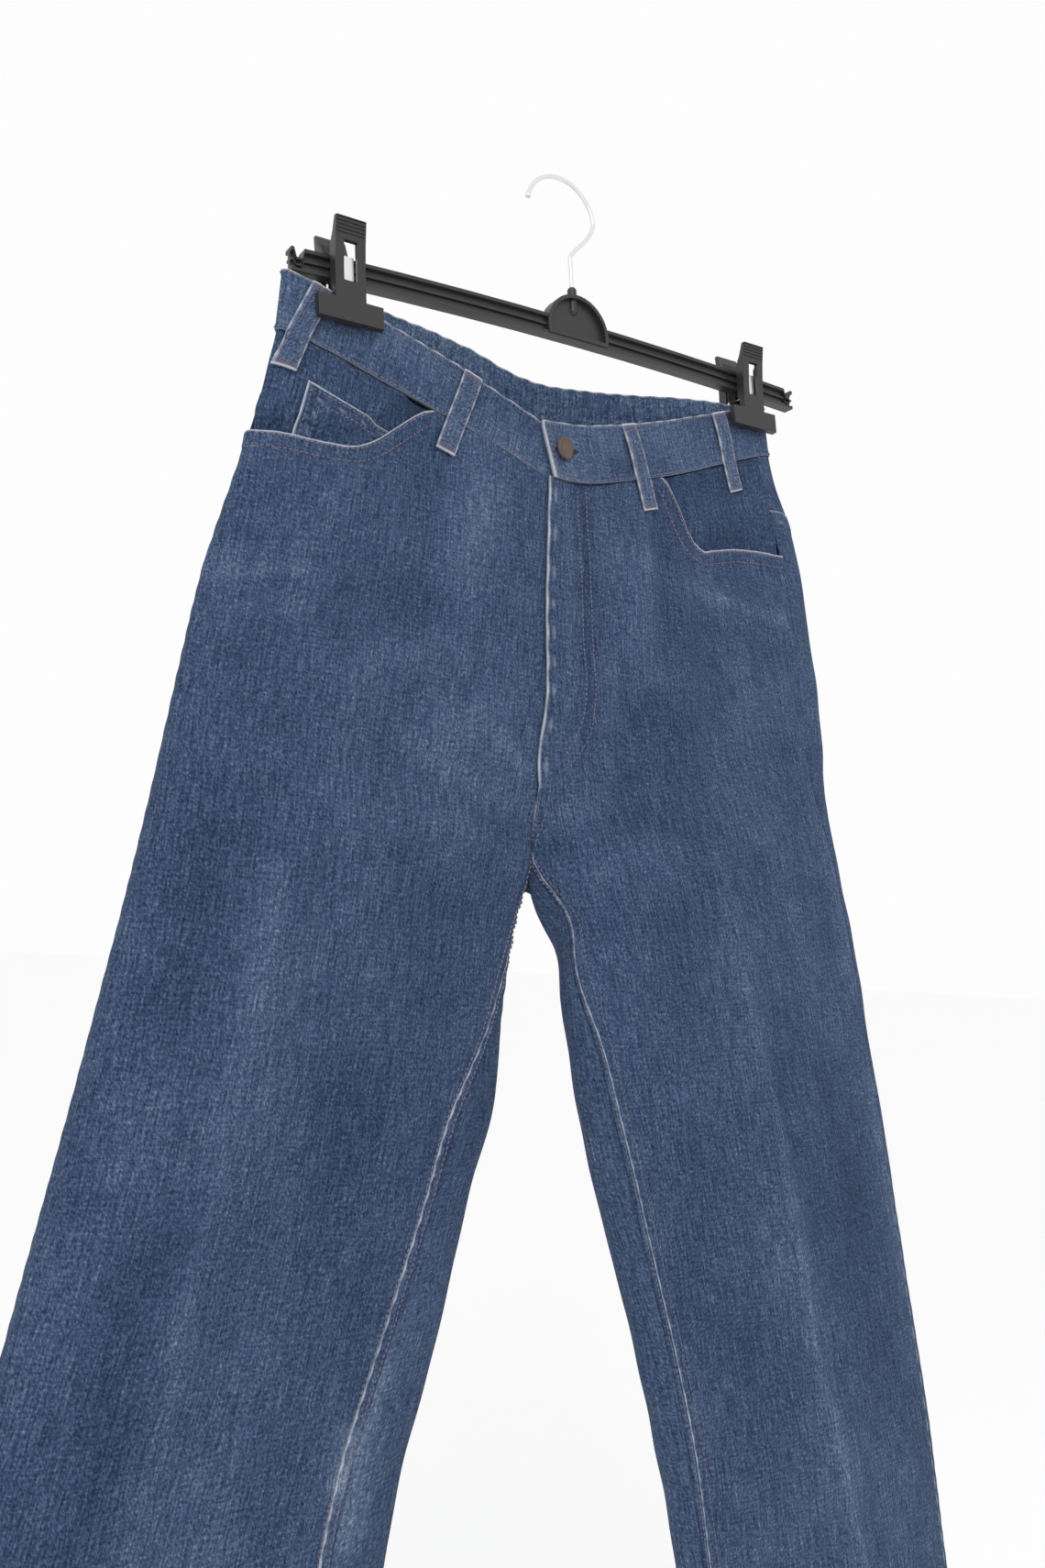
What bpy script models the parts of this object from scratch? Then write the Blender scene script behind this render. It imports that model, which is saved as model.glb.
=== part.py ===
# Denim jeans held by two clips on a plastic trouser hanger, hung by its wire hook.
#
# Frame: metres. Origin at the inside top of the hook, +Z up, +X to the
# viewer's right, +Y away from the viewer. The garment's front faces -Y.
# The wearer's right leg is at -X, the wearer's left leg at +X.
import math

import bmesh
import bpy
import numpy as np
from mathutils import Vector
from mathutils.bvhtree import BVHTree

for old in list(bpy.data.objects):
    bpy.data.objects.remove(old, do_unlink=True)

# Driving sizes
CLOTH = 0.0016
HEM_WALL = 0.0028
HEM_DEPTH = 0.014
SEAM_GAP = 0.0003
BAND_WALL = 0.0026
BAND_PROUD = 0.0008
CROTCH_Z = -0.447
HEM_Z = -1.240
CENTRE_X = -0.009
ROUND = 0.78
LOOP_WIDTH = 0.0126
LOOP_WALL = 0.0015
WIRE_RADIUS = 0.0015
HANGER_TILT = math.radians(5.5)
HANGER_POINT = (-0.0046, 0.1101)
CLIP_X = (-0.168, 0.151)

# Legs, one row a level. Columns: z, outer x, inner x (both positive away
# from the wearer's middle), middle y, front depth, back depth, inseam angle,
# outseam angle (degrees forward of the leg's own edge).
LEG_RIGHT = np.array([
    (-0.135, 0.1865, 0.009, 0.000, 0.008, 0.012, 0, -6),
    (-0.170, 0.1885, 0.009, 0.000, 0.011, 0.018, 0, -6),
    (-0.227, 0.1980, 0.009, 0.000, 0.014, 0.028, 0, -6),
    (-0.314, 0.2175, 0.009, 0.000, 0.016, 0.036, 0, -6),
    (-0.394, 0.2290, 0.009, 0.000, 0.019, 0.038, 0, -6),
    (-0.447, 0.2360, 0.009, 0.000, 0.022, 0.036, 0, -6),
    (-0.498, 0.2440, 0.016, 0.000, 0.024, 0.034, 6, -6),
    (-0.530, 0.2495, 0.020, 0.000, 0.025, 0.033, 18, -6),
    (-0.591, 0.2600, 0.023, 0.000, 0.026, 0.031, 42, -6),
    (-0.640, 0.2690, 0.036, 0.000, 0.026, 0.030, 44, -6),
    (-0.701, 0.2800, 0.050, 0.000, 0.025, 0.029, 48, -6),
    (-0.778, 0.2940, 0.069, 0.000, 0.024, 0.028, 52, -6),
    (-0.900, 0.3110, 0.088, 0.000, 0.023, 0.026, 48, -4),
    (-1.000, 0.3200, 0.098, 0.001, 0.023, 0.025, 44, 0),
    (-1.100, 0.3250, 0.102, 0.002, 0.022, 0.024, 38, 4),
    (-1.240, 0.3290, 0.102, 0.003, 0.022, 0.023, 34, 6),
])
LEG_LEFT = np.array([
    (-0.100, 0.1880, -0.009, 0.000, 0.008, 0.012, 0, 22),
    (-0.138, 0.1930, -0.009, -0.002, 0.011, 0.018, 0, 22),
    (-0.178, 0.2090, -0.009, -0.005, 0.013, 0.024, 0, 24),
    (-0.266, 0.2270, -0.009, -0.010, 0.016, 0.034, 0, 26),
    (-0.327, 0.2320, -0.009, -0.015, 0.018, 0.037, 0, 26),
    (-0.393, 0.2350, -0.009, -0.021, 0.020, 0.038, 0, 26),
    (-0.447, 0.2415, -0.009, -0.026, 0.022, 0.036, 0, 26),
    (-0.480, 0.2475, 0.004, -0.029, 0.023, 0.035, 2, 26),
    (-0.516, 0.2535, 0.006, -0.032, 0.024, 0.033, 6, 26),
    (-0.552, 0.2595, 0.011, -0.034, 0.025, 0.032, 18, 26),
    (-0.603, 0.2680, 0.020, -0.038, 0.026, 0.031, 24, 26),
    (-0.649, 0.2755, 0.0315, -0.041, 0.026, 0.030, 26, 26),
    (-0.714, 0.2865, 0.053, -0.045, 0.025, 0.029, 25, 26),
    (-0.770, 0.2960, 0.068, -0.049, 0.024, 0.028, 25, 26),
    (-0.846, 0.3110, 0.088, -0.050, 0.023, 0.027, 22, 26),
    (-0.900, 0.3205, 0.100, -0.050, 0.023, 0.026, 20, 24),
    (-1.000, 0.3358, 0.115, -0.049, 0.023, 0.025, 18, 20),
    (-1.100, 0.3452, 0.121, -0.047, 0.022, 0.024, 16, 16),
    (-1.240, 0.3508, 0.121, -0.045, 0.022, 0.023, 16, 14),
])

# Waist seam and top edge of the band. Columns: x, y, z.
SEAM_FRONT = np.array([
    (-0.1885, 0.0000, -0.1700),
    (-0.1875, -0.0018, -0.1702),
    (-0.1840, -0.0034, -0.1707),
    (-0.1650, -0.0040, -0.1730),
    (-0.1300, -0.0046, -0.1805),
    (-0.0830, -0.0100, -0.1930),
    (-0.0400, -0.0135, -0.2050),
    (-0.0080, -0.0145, -0.2125),
    (0.0220, -0.0140, -0.2085),
    (0.0510, -0.0130, -0.1985),
    (0.0980, -0.0095, -0.1800),
    (0.1450, -0.0050, -0.1580),
    (0.1750, -0.0046, -0.1445),
    (0.1885, -0.0040, -0.1392),
    (0.1920, -0.0026, -0.1383),
    (0.1930, -0.0010, -0.1380),
])
SEAM_BACK = np.array([
    (-0.1885, 0.0000, -0.1700),
    (-0.1875, 0.0018, -0.1700),
    (-0.1840, 0.0034, -0.1700),
    (-0.1650, 0.0040, -0.1703),
    (-0.1300, 0.0038, -0.1700),
    (-0.1150, 0.0056, -0.1698),
    (-0.0600, 0.0160, -0.1690),
    (-0.0090, 0.0190, -0.1730),
    (0.0500, 0.0160, -0.1660),
    (0.1300, 0.0048, -0.1500),
    (0.1500, 0.0036, -0.1465),
    (0.1700, 0.0034, -0.1425),
    (0.1885, 0.0022, -0.1388),
    (0.1920, 0.0006, -0.1382),
    (0.1930, -0.0010, -0.1380),
])

# Top edge of the band over given points of the waist seam.
# Columns: x on the seam, then the top edge's x, y and z.
TOP_FRONT_RIGHT = np.array([
    (-0.1885, -0.1870, 0.0000, -0.1340),
    (-0.1875, -0.1858, -0.0016, -0.1342),
    (-0.1840, -0.1815, -0.0031, -0.1352),
    (-0.1650, -0.1605, -0.0036, -0.1390),
    (-0.1300, -0.1225, -0.0038, -0.1455),
    (-0.0830, -0.0735, -0.0080, -0.1590),
    (-0.0400, -0.0305, -0.0105, -0.1725),
    (-0.0080, 0.0015, -0.0112, -0.1792),
    (0.0240, 0.0310, -0.0108, -0.1765),
])
TOP_FRONT_LEFT = np.array([
    (-0.0065, -0.0165, -0.0112, -0.1765),
    (0.0220, 0.0125, -0.0110, -0.1715),
    (0.0510, 0.0400, -0.0100, -0.1625),
    (0.0980, 0.0860, -0.0070, -0.1445),
    (0.1450, 0.1340, -0.0040, -0.1235),
    (0.1750, 0.1660, -0.0036, -0.1095),
    (0.1885, 0.1812, -0.0031, -0.1032),
    (0.1920, 0.1852, -0.0016, -0.1022),
    (0.1930, 0.1864, 0.0000, -0.1018),
])
TOP_BACK = np.array([
    (-0.1885, -0.1870, 0.0000, -0.1340),
    (-0.1875, -0.1860, 0.0016, -0.1341),
    (-0.1840, -0.1825, 0.0031, -0.1345),
    (-0.1650, -0.1630, 0.0036, -0.1348),
    (-0.1300, -0.1280, 0.0036, -0.1342),
    (-0.1150, -0.1140, 0.0050, -0.1336),
    (-0.0600, -0.0600, 0.0150, -0.1300),
    (-0.0090, -0.0090, 0.0185, -0.1352),
    (0.0500, 0.0470, 0.0155, -0.1275),
    (0.1300, 0.1260, 0.0044, -0.1125),
    (0.1500, 0.1455, 0.0034, -0.1092),
    (0.1700, 0.1645, 0.0034, -0.1060),
    (0.1885, 0.1820, 0.0031, -0.1030),
    (0.1920, 0.1853, 0.0016, -0.1021),
    (0.1930, 0.1864, 0.0000, -0.1018),
])

# Rise seams between the two sides. Columns: row share, x, y, z.
RISE_FRONT = np.array([
    (0.00, -0.0080, -0.0145, -0.2125),
    (0.33, -0.0100, -0.0200, -0.2900),
    (0.60, -0.0070, -0.0205, -0.3530),
    (0.72, -0.0100, -0.0205, -0.3810),
    (0.87, -0.0110, -0.0165, -0.4150),
    (1.00, -0.0090, -0.0080, -0.4470),
])
RISE_BACK = np.array([
    (0.00, -0.0090, 0.0190, -0.1730),
    (0.30, -0.0090, 0.0300, -0.2600),
    (0.55, -0.0090, 0.0350, -0.3400),
    (0.75, -0.0090, 0.0320, -0.4130),
    (0.87, -0.0090, 0.0230, -0.4530),
    (0.94, -0.0090, 0.0090, -0.4700),
    (1.00, -0.0090, -0.0080, -0.4470),
])

# Pocket mouths, below the waist seam. Columns: distance from the
# middle in x, drop below the seam.
MOUTH_RIGHT = np.array([
    (0.080, 0.000), (0.086, 0.003), (0.103, 0.023), (0.114, 0.038), (0.122, 0.046),
    (0.142, 0.055), (0.169, 0.061), (0.182, 0.064), (0.200, 0.067),
])
MOUTH_LEFT = np.array([
    (0.092, 0.000), (0.096, 0.004), (0.103, 0.020), (0.108, 0.041), (0.115, 0.054),
    (0.128, 0.058), (0.142, 0.060), (0.164, 0.066), (0.186, 0.073), (0.210, 0.078),
])


def smooth_table(value, knots, column, key=0):
    """A cubic through a table's knots, level beyond both ends."""
    rows = knots[np.argsort(knots[:, key])]
    xs = rows[:, key]
    ys = rows[:, column]
    value = np.clip(np.asarray(value, dtype=float), xs[0], xs[-1])
    step = np.diff(xs)
    rise = np.diff(ys) / step
    slope = np.empty_like(ys)
    slope[0] = rise[0]
    slope[-1] = rise[-1]
    slope[1:-1] = (rise[:-1] * step[1:] + rise[1:] * step[:-1]) / (step[1:] + step[:-1])
    flat = rise[:-1] * rise[1:] <= 0.0
    slope[1:-1][flat] = 0.0
    i = np.clip(np.searchsorted(xs, value) - 1, 0, len(xs) - 2)
    t = (value - xs[i]) / step[i]
    h00 = 2 * t**3 - 3 * t**2 + 1
    h10 = t**3 - 2 * t**2 + t
    h01 = -2 * t**3 + 3 * t**2
    h11 = t**3 - t**2
    return h00 * ys[i] + h10 * step[i] * slope[i] + h01 * ys[i + 1] + h11 * step[i] * slope[i + 1]


def ease(t):
    t = np.clip(t, 0.0, 1.0)
    return t * t * (3.0 - 2.0 * t)


def bell(value, middle, width):
    return np.exp(-((value - middle) / width) ** 2)


def leg_table(side):
    return LEG_RIGHT if side < 0 else LEG_LEFT


def folds(side, face, u, z):
    """Soft lengthwise folds of a leg, outward positive, nothing at its seams."""
    keep = np.sin(np.pi * np.clip(u, 0.0, 1.0)) ** 2
    low = ease((-0.30 - z) / 0.25)
    if face == "front" and side < 0:
        ridge = 0.0030 * bell(u, 0.60 + 0.10 * (z + 0.70), 0.16)
        trough = -0.0026 * bell(u, 0.30 - 0.08 * (z + 0.70), 0.13)
        hip = 0.0016 * bell(z, -0.285, 0.030) - 0.0014 * bell(z, -0.345, 0.028)
        return keep * (low * (ridge + trough) + hip * bell(u, 0.75, 0.30))
    if face == "front":
        ridge = 0.0032 * bell(u, 0.52 + 0.12 * (z + 0.70), 0.15)
        trough = -0.0030 * bell(u, 0.80 + 0.10 * (z + 0.70), 0.10)
        hip = 0.0016 * bell(z, -0.262, 0.026) - 0.0014 * bell(z, -0.320, 0.030)
        return keep * (low * (ridge + trough) + hip * bell(u, 0.75, 0.30))
    ridge = 0.0032 * bell(u, 0.46 + 0.08 * side * (z + 0.70), 0.14)
    trough = -0.0030 * bell(u, 0.74 - 0.05 * side * (z + 0.70), 0.11)
    seat = -0.0040 * bell(z, -0.470, 0.045) * bell(u, 0.35, 0.25)
    return keep * (low * (ridge + trough) + seat)


def ring(side, z_level, angle, centre=False):
    """A point of a leg's ring, or of the hips' ring, and its outward normal."""
    rows = leg_table(side)
    outer = side * smooth_table(z_level, rows, 1)
    inner = side * smooth_table(z_level, rows, 2)
    middle = smooth_table(z_level, rows, 3)
    front = smooth_table(z_level, rows, 4)
    back = smooth_table(z_level, rows, 5)
    if centre:
        other = smooth_table(z_level, leg_table(-side), 3)
        half = outer - CENTRE_X
        x = CENTRE_X - half * np.cos(angle)
        share = np.abs(np.cos(angle))
        middle = middle * share + 0.5 * (middle + other) * (1.0 - share)
    else:
        half = 0.5 * (outer - inner)
        x = 0.5 * (outer + inner) - half * np.cos(angle)
    sine = np.sin(angle)
    size = np.abs(sine)
    depth = np.where(sine > 0.0, front, back)
    y = middle - depth * np.sign(sine) * size ** ROUND
    steep = ROUND * np.maximum(size, 0.02) ** (ROUND - 1.0)
    normal = np.stack([
        -depth * np.cos(angle) * steep * np.sign(half),
        -np.abs(half) * sine,
        0.0 * x,
    ], -1)
    normal /= np.linalg.norm(normal, axis=-1, keepdims=True)
    return x, y, normal


def seam_angle(side, z_level, which):
    return np.radians(smooth_table(z_level, leg_table(side), 6 if which == "in" else 7))


def side_seam_z(side):
    return SEAM_FRONT[0, 2] if side < 0 else SEAM_FRONT[-1, 2]


def surface(side, face, u, row):
    """The cloth's outside. u runs from the middle or inseam (0) to the outseam (1).
    row runs from the waist seam (0) by the crotch (1) to the hem (2)."""
    u = np.asarray(u, dtype=float)
    row = np.asarray(row, dtype=float)
    w = np.clip(row, 0.0, 1.0)
    below = np.clip(row - 1.0, 0.0, 1.0)
    side_z = side_seam_z(side) * (1.0 - w) + CROTCH_Z * w
    level = side_z + (HEM_Z - CROTCH_Z) * below
    inseam = seam_angle(side, level, "in")
    outseam = seam_angle(side, level, "out")
    if face == "front":
        hip_angle = 0.5 * np.pi + u * (0.5 * np.pi - outseam)
        leg_angle = inseam + u * (np.pi - outseam - inseam)
        seam = SEAM_FRONT
        rise = RISE_FRONT
        start = 0.80
    else:
        hip_angle = 1.5 * np.pi - u * (0.5 * np.pi + outseam)
        leg_angle = inseam - u * (np.pi + outseam + inseam)
        seam = SEAM_BACK
        rise = RISE_BACK
        start = 0.62
    hip_x, hip_y, _ = ring(side, level, hip_angle, True)
    leg_x, leg_y, _ = ring(side, level, leg_angle)
    ahead = np.sin(hip_angle) > 0.0
    edge_x = SEAM_FRONT[0, 0] if side < 0 else SEAM_FRONT[-1, 0]
    narrow = (edge_x - CENTRE_X) / (side * smooth_table(level, leg_table(side), 1) - CENTRE_X)
    at_x = CENTRE_X + (hip_x - CENTRE_X) * narrow
    waist_y = np.where(ahead, smooth_table(at_x, SEAM_FRONT, 1), smooth_table(at_x, SEAM_BACK, 1))
    waist_z = np.where(ahead, smooth_table(at_x, SEAM_FRONT, 2), smooth_table(at_x, SEAM_BACK, 2))
    top_share = ease(w / 0.34)
    hip_y = waist_y * (1.0 - top_share) + hip_y * top_share
    hip_z = waist_z * (1.0 - w) + CROTCH_Z * w
    begin = start * (1.0 - u) + 0.70 * u
    leg_share = ease((w - begin) / (1.0 - begin))
    x = hip_x * (1.0 - leg_share) + leg_x * leg_share
    y = hip_y * (1.0 - leg_share) + leg_y * leg_share
    z = np.where(row <= 1.0, hip_z, level)

    # The rise seams are shared curves, so both sides are drawn to them.
    mid_angle = 0.5 * np.pi if face == "front" else 1.5 * np.pi
    edge_hip_x, edge_hip_y, _ = ring(side, level, mid_angle + 0.0 * level, True)
    edge_leg_x, edge_leg_y, _ = ring(side, level, inseam)
    edge_waist_y = smooth_table(edge_hip_x, seam, 1)
    edge_waist_z = smooth_table(edge_hip_x, seam, 2)
    edge_hip_y = edge_waist_y * (1.0 - top_share) + edge_hip_y * top_share
    edge_share = ease((w - start) / (1.0 - start))
    edge_x = edge_hip_x * (1.0 - edge_share) + edge_leg_x * edge_share
    edge_y = edge_hip_y * (1.0 - edge_share) + edge_leg_y * edge_share
    edge_z = edge_waist_z * (1.0 - w) + CROTCH_Z * w
    fade = 1.0 - ease(below / 0.06)
    pull_x = (smooth_table(w, rise, 1) - edge_x) * np.where(row <= 1.0, 1.0, 0.0)
    pull_y = (smooth_table(w, rise, 2) - edge_y) * np.where(row <= 1.0, 1.0, 0.0)
    pull_z = (smooth_table(w, rise, 3) - edge_z) * np.where(row <= 1.0, 1.0, 0.0)
    crotch_x, crotch_y, _ = ring(side, np.array(CROTCH_Z), seam_angle(side, CROTCH_Z, "in"))
    pull_x = pull_x + np.where(row > 1.0, (CENTRE_X - crotch_x) * fade, 0.0)
    pull_y = pull_y + np.where(row > 1.0, (-0.0080 - crotch_y) * fade, 0.0)
    slow = (1.0 - u) ** 2
    x = x + pull_x * slow
    if face == "front":
        y = y + pull_y * slow
        z = z + pull_z * slow
    else:
        # The seat hangs below the crotch point: a slow dip across the panel
        # and a quick lift back to the point where the four panels meet.
        turn = ease((w - 0.80) / 0.20)
        quick = np.clip(1.0 - u / 0.22, 0.0, 1.0) ** 2
        y = y + pull_y * (slow * (1.0 - turn) + quick * turn)
        dip = -0.050 * ease((w - 0.45) / 0.55) * (1.0 - ease(below / 0.24))
        total_z = pull_z
        z = z + dip * slow + (total_z - dip) * np.where(w < 1.0, quick * turn + slow * (1.0 - turn), quick)
    x = x + 0.0 * u
    point = np.stack(np.broadcast_arrays(x, y, z), -1)
    _, _, out = ring(side, level, leg_angle)
    _, _, out_hip = ring(side, level, hip_angle, True)
    out = out_hip * (1.0 - leg_share)[..., None] + out * leg_share[..., None]
    out /= np.linalg.norm(out, axis=-1, keepdims=True)
    return point + out * folds(side, face, u, z)[..., None]


def normals(grid):
    """Unit normals of a point grid by differences."""
    along_u = np.gradient(grid, axis=0)
    along_v = np.gradient(grid, axis=1)
    n = np.cross(along_u, along_v)
    n /= np.maximum(np.linalg.norm(n, axis=-1, keepdims=True), 1e-12)
    return n


def add_mesh(name, verts, faces, material):
    mesh = bpy.data.meshes.new(name)
    mesh.from_pydata([tuple(map(float, v)) for v in verts], [], faces)
    mesh.validate()
    obj = bpy.data.objects.new(name, mesh)
    bpy.context.scene.collection.objects.link(obj)
    mesh.materials.append(material)
    work = bmesh.new()
    work.from_mesh(mesh)
    bmesh.ops.recalc_face_normals(work, faces=work.faces)
    work.to_mesh(mesh)
    work.free()
    return obj


def material(name, colour, rough=0.8, metal=0.0):
    m = bpy.data.materials.new(name)
    m.use_nodes = True
    node = m.node_tree.nodes["Principled BSDF"]
    node.inputs["Base Color"].default_value = (*colour, 1.0)
    node.inputs["Roughness"].default_value = rough
    node.inputs["Metallic"].default_value = metal
    return m


def slab(name, outer, inner, mat, skip=()):
    """A closed solid between two point grids of the same size; skip lists open cells.
    Each cell is folded along its shorter diagonal."""
    nu, nv = outer.shape[:2]
    verts = np.concatenate([outer.reshape(-1, 3), inner.reshape(-1, 3)])
    half = nu * nv

    def at(i, j, layer):
        return layer * half + i * nv + j

    cells = []
    for i in range(nu - 1):
        for j in range(nv - 1):
            if (i, j) in skip:
                ring_points = [(i, j), (i + 1, j), (i + 1, j + 1), (i, j + 1)]
                for k in range(4):
                    a = ring_points[k]
                    b = ring_points[(k + 1) % 4]
                    cells.append((at(*a, 0), at(*a, 1), at(*b, 1), at(*b, 0)))
                continue
            cells.append((at(i, j, 0), at(i + 1, j, 0), at(i + 1, j + 1, 0), at(i, j + 1, 0)))
            cells.append((at(i, j, 1), at(i, j + 1, 1), at(i + 1, j + 1, 1), at(i + 1, j, 1)))
    for i in range(nu - 1):
        cells.append((at(i, 0, 0), at(i, 0, 1), at(i + 1, 0, 1), at(i + 1, 0, 0)))
        cells.append((at(i, nv - 1, 0), at(i + 1, nv - 1, 0), at(i + 1, nv - 1, 1), at(i, nv - 1, 1)))
    for j in range(nv - 1):
        cells.append((at(0, j, 0), at(0, j + 1, 0), at(0, j + 1, 1), at(0, j, 1)))
        cells.append((at(nu - 1, j, 0), at(nu - 1, j, 1), at(nu - 1, j + 1, 1), at(nu - 1, j + 1, 0)))
    faces = []
    for a, b, c, d in cells:
        if np.linalg.norm(verts[a] - verts[c]) <= np.linalg.norm(verts[b] - verts[d]):
            faces += [(a, b, c), (a, c, d)]
        else:
            faces += [(a, b, d), (b, c, d)]
    return add_mesh(name, verts, faces, mat)


def out_normal(side, face, u, row):
    """The cloth's outward normal anywhere on a side's surface."""
    d = 0.003
    u0 = np.clip(u - d, 0.0, 1.0)
    u1 = np.clip(u + d, 0.0, 1.0)
    r0 = np.clip(row - d, 0.0, 2.0)
    r1 = np.clip(row + d, 0.0, 2.0)
    n = np.cross(
        surface(side, face, u1, row) - surface(side, face, u0, row),
        surface(side, face, u, r1) - surface(side, face, u, r0))
    n *= -side if face == "front" else side
    return n / np.maximum(np.linalg.norm(n, axis=-1, keepdims=True), 1e-12)


def border_normals(side, rows, at_side):
    """Normals along a leg's outseam or inseam, shared by the panels that meet there."""
    u = np.full(len(rows), 1.0 if at_side else 0.0)
    n = out_normal(side, "front", u, rows) + out_normal(side, "back", u, rows)
    return n / np.linalg.norm(n, axis=-1, keepdims=True)


def seam_normals(side, face, n, rows):
    """Gives the borders of a panel normals that its neighbours share."""
    n = n.copy()
    edge = n[0].copy()
    edge[rows[0] <= 0.999, 0] = 0.0
    legs = rows[0] > 0.999
    edge[legs] = border_normals(side, rows[0][legs], False)
    n[0] = edge / np.linalg.norm(edge, axis=-1, keepdims=True)
    n[-1] = border_normals(side, rows[-1], True)
    return n


def trimmed(side, face, u, rows):
    """u over a panel, drawn back from both seams by half the seam gap."""
    d = 0.001
    uu = np.repeat(u[:, None], rows.shape[1], axis=1)
    for k, at, sign in ((0, 0.0, 1.0), (-1, 1.0, -1.0)):
        edge = np.full(rows.shape[1], at)
        step = surface(side, face, edge + sign * d, rows[k]) - surface(side, face, edge, rows[k])
        uu[k] = at + sign * 0.55 * SEAM_GAP * d / np.linalg.norm(step, axis=-1)
    return uu


def oriented(side, face, grid):
    """Normals pointing out of the garment."""
    n = normals(grid)
    toward = -1.0 if face == "front" else 1.0
    if n[grid.shape[0] // 2, grid.shape[1] // 2, 1] * toward < 0.0:
        n = -n
    return n


def wall(rows):
    """Cloth thickness, doubled in the hem."""
    z = CROTCH_Z + (HEM_Z - CROTCH_Z) * np.clip(rows - 1.0, 0.0, 1.0)
    folded = (z < HEM_Z + HEM_DEPTH + 0.0005) & (rows > 1.0)
    return np.where(folded, HEM_WALL, CLOTH)


def leg_rows(count):
    """Rows below the crotch, closer near it, with the hem's fold at the end."""
    t = np.linspace(0.0, 1.0, count) ** 1.25
    fold = 1.0 - HEM_DEPTH / (CROTCH_Z - HEM_Z)
    t = t[t < fold - 0.02]
    return np.concatenate([1.0 + t, [1.0 + fold - 0.0012, 1.0 + fold, 2.0]])


def mouth_drop(side, x):
    rows = MOUTH_RIGHT if side < 0 else MOUTH_LEFT
    return np.where(np.abs(x - CENTRE_X) < rows[0, 0], 0.0, smooth_table(np.abs(x - CENTRE_X), rows, 1))


def row_of_drop(side, face, u, drop):
    """The row share that lies a given drop below the waist seam at u."""
    low = np.zeros_like(u)
    high = np.ones_like(u)
    top = surface(side, face, u, low)[..., 2]
    for _ in range(30):
        half = 0.5 * (low + high)
        z = surface(side, face, u, half)[..., 2]
        deep = z < top - drop
        high = np.where(deep, half, high)
        low = np.where(deep, low, half)
    return 0.5 * (low + high)


denim = material("denim", (0.055, 0.100, 0.200), 0.85)
denim_dark = material("denim_shade", (0.045, 0.085, 0.175), 0.85)
denim_band = material("denim_band", (0.060, 0.110, 0.215), 0.85)
black = material("black_plastic", (0.020, 0.020, 0.022), 0.45)
steel = material("steel", (0.62, 0.63, 0.64), 0.25, 1.0)
brass = material("antique_brass", (0.36, 0.27, 0.17), 0.40, 1.0)

SIDES = ((-1, "right"), (1, "left"))
TRIM = 0.0010

# Levels from the pocket mouth to the crotch that both panels of a side share
# at their outseam
SIDE_LEVELS = np.array([0.32, 0.40, 0.48, 0.56, 0.64, 0.72, 0.80, 0.87, 0.93, 0.97])


def mouth_row(side):
    """The row share at which the pocket mouth meets the outseam."""
    edge = np.array([1.0])
    seam_x = surface(side, "front", edge, 0.0 * edge)[:, 0]
    return float(row_of_drop(side, "front", edge, mouth_drop(side, seam_x) + 0.0004)[0])


def hip_rows(top, levels):
    """Rows of a panel from its own upper edge to the crotch."""
    share = (levels - levels[0]) / (1.0 - levels[0])
    return top[:, None] * (1.0 - share[None, :]) + share[None, :]


# Front panels, each cut away along its pocket mouth
front_u = np.unique(np.concatenate([
    np.linspace(TRIM, 1.0 - TRIM, 14), [0.03, 0.34, 0.42, 0.50]]))
for side, word in SIDES:
    seam_x = surface(side, "front", front_u, np.zeros_like(front_u))[:, 0]
    top = row_of_drop(side, "front", front_u, mouth_drop(side, seam_x) + 0.0004)
    rows_hip = hip_rows(top, np.concatenate([[mouth_row(side)], SIDE_LEVELS]))
    rows_leg = np.repeat(leg_rows(15)[None, :], len(front_u), axis=0)
    rows = np.concatenate([rows_hip, rows_leg], axis=1)
    grid = surface(side, "front", trimmed(side, "front", front_u, rows), rows)
    n = seam_normals(side, "front", oriented(side, "front", grid), rows)
    slab(f"front_{word}", grid, grid - n * wall(rows)[..., None], denim)

# Yokes and back panels, cut from one surface along the yoke seam
back_u = np.unique(np.concatenate([np.linspace(TRIM, 1.0 - TRIM, 20), [0.025]]))
YOKE_ROWS = 4
backs = {}
for side, word in SIDES:
    low = row_of_drop(side, "back", back_u, 0.072 - 0.034 * back_u)
    share = np.linspace(0.0, 1.0, YOKE_ROWS)
    rows_yoke = 0.0016 + (low[:, None] - 0.0024) * share[None, :]
    upper = low + 0.0008
    mouth = mouth_row(side)
    rows_hip = hip_rows(upper, np.concatenate([[upper[-1], 0.5 * (upper[-1] + mouth), mouth], SIDE_LEVELS]))
    rows_leg = np.repeat(leg_rows(15)[None, :], len(back_u), axis=0)
    rows = np.concatenate([rows_yoke, rows_hip, rows_leg], axis=1)
    grid = surface(side, "back", trimmed(side, "back", back_u, rows), rows)
    n = seam_normals(side, "back", oriented(side, "back", grid), rows)
    shared = n[:, YOKE_ROWS - 1] + n[:, YOKE_ROWS]
    shared /= np.linalg.norm(shared, axis=-1, keepdims=True)
    n[:, YOKE_ROWS - 1] = shared
    n[:, YOKE_ROWS] = shared
    inner = grid - n * wall(rows)[..., None]
    slab(f"yoke_{word}", grid[:, :YOKE_ROWS], inner[:, :YOKE_ROWS], denim)
    backs[side] = slab(f"back_{word}", grid[:, YOKE_ROWS:], inner[:, YOKE_ROWS:], denim)


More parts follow.
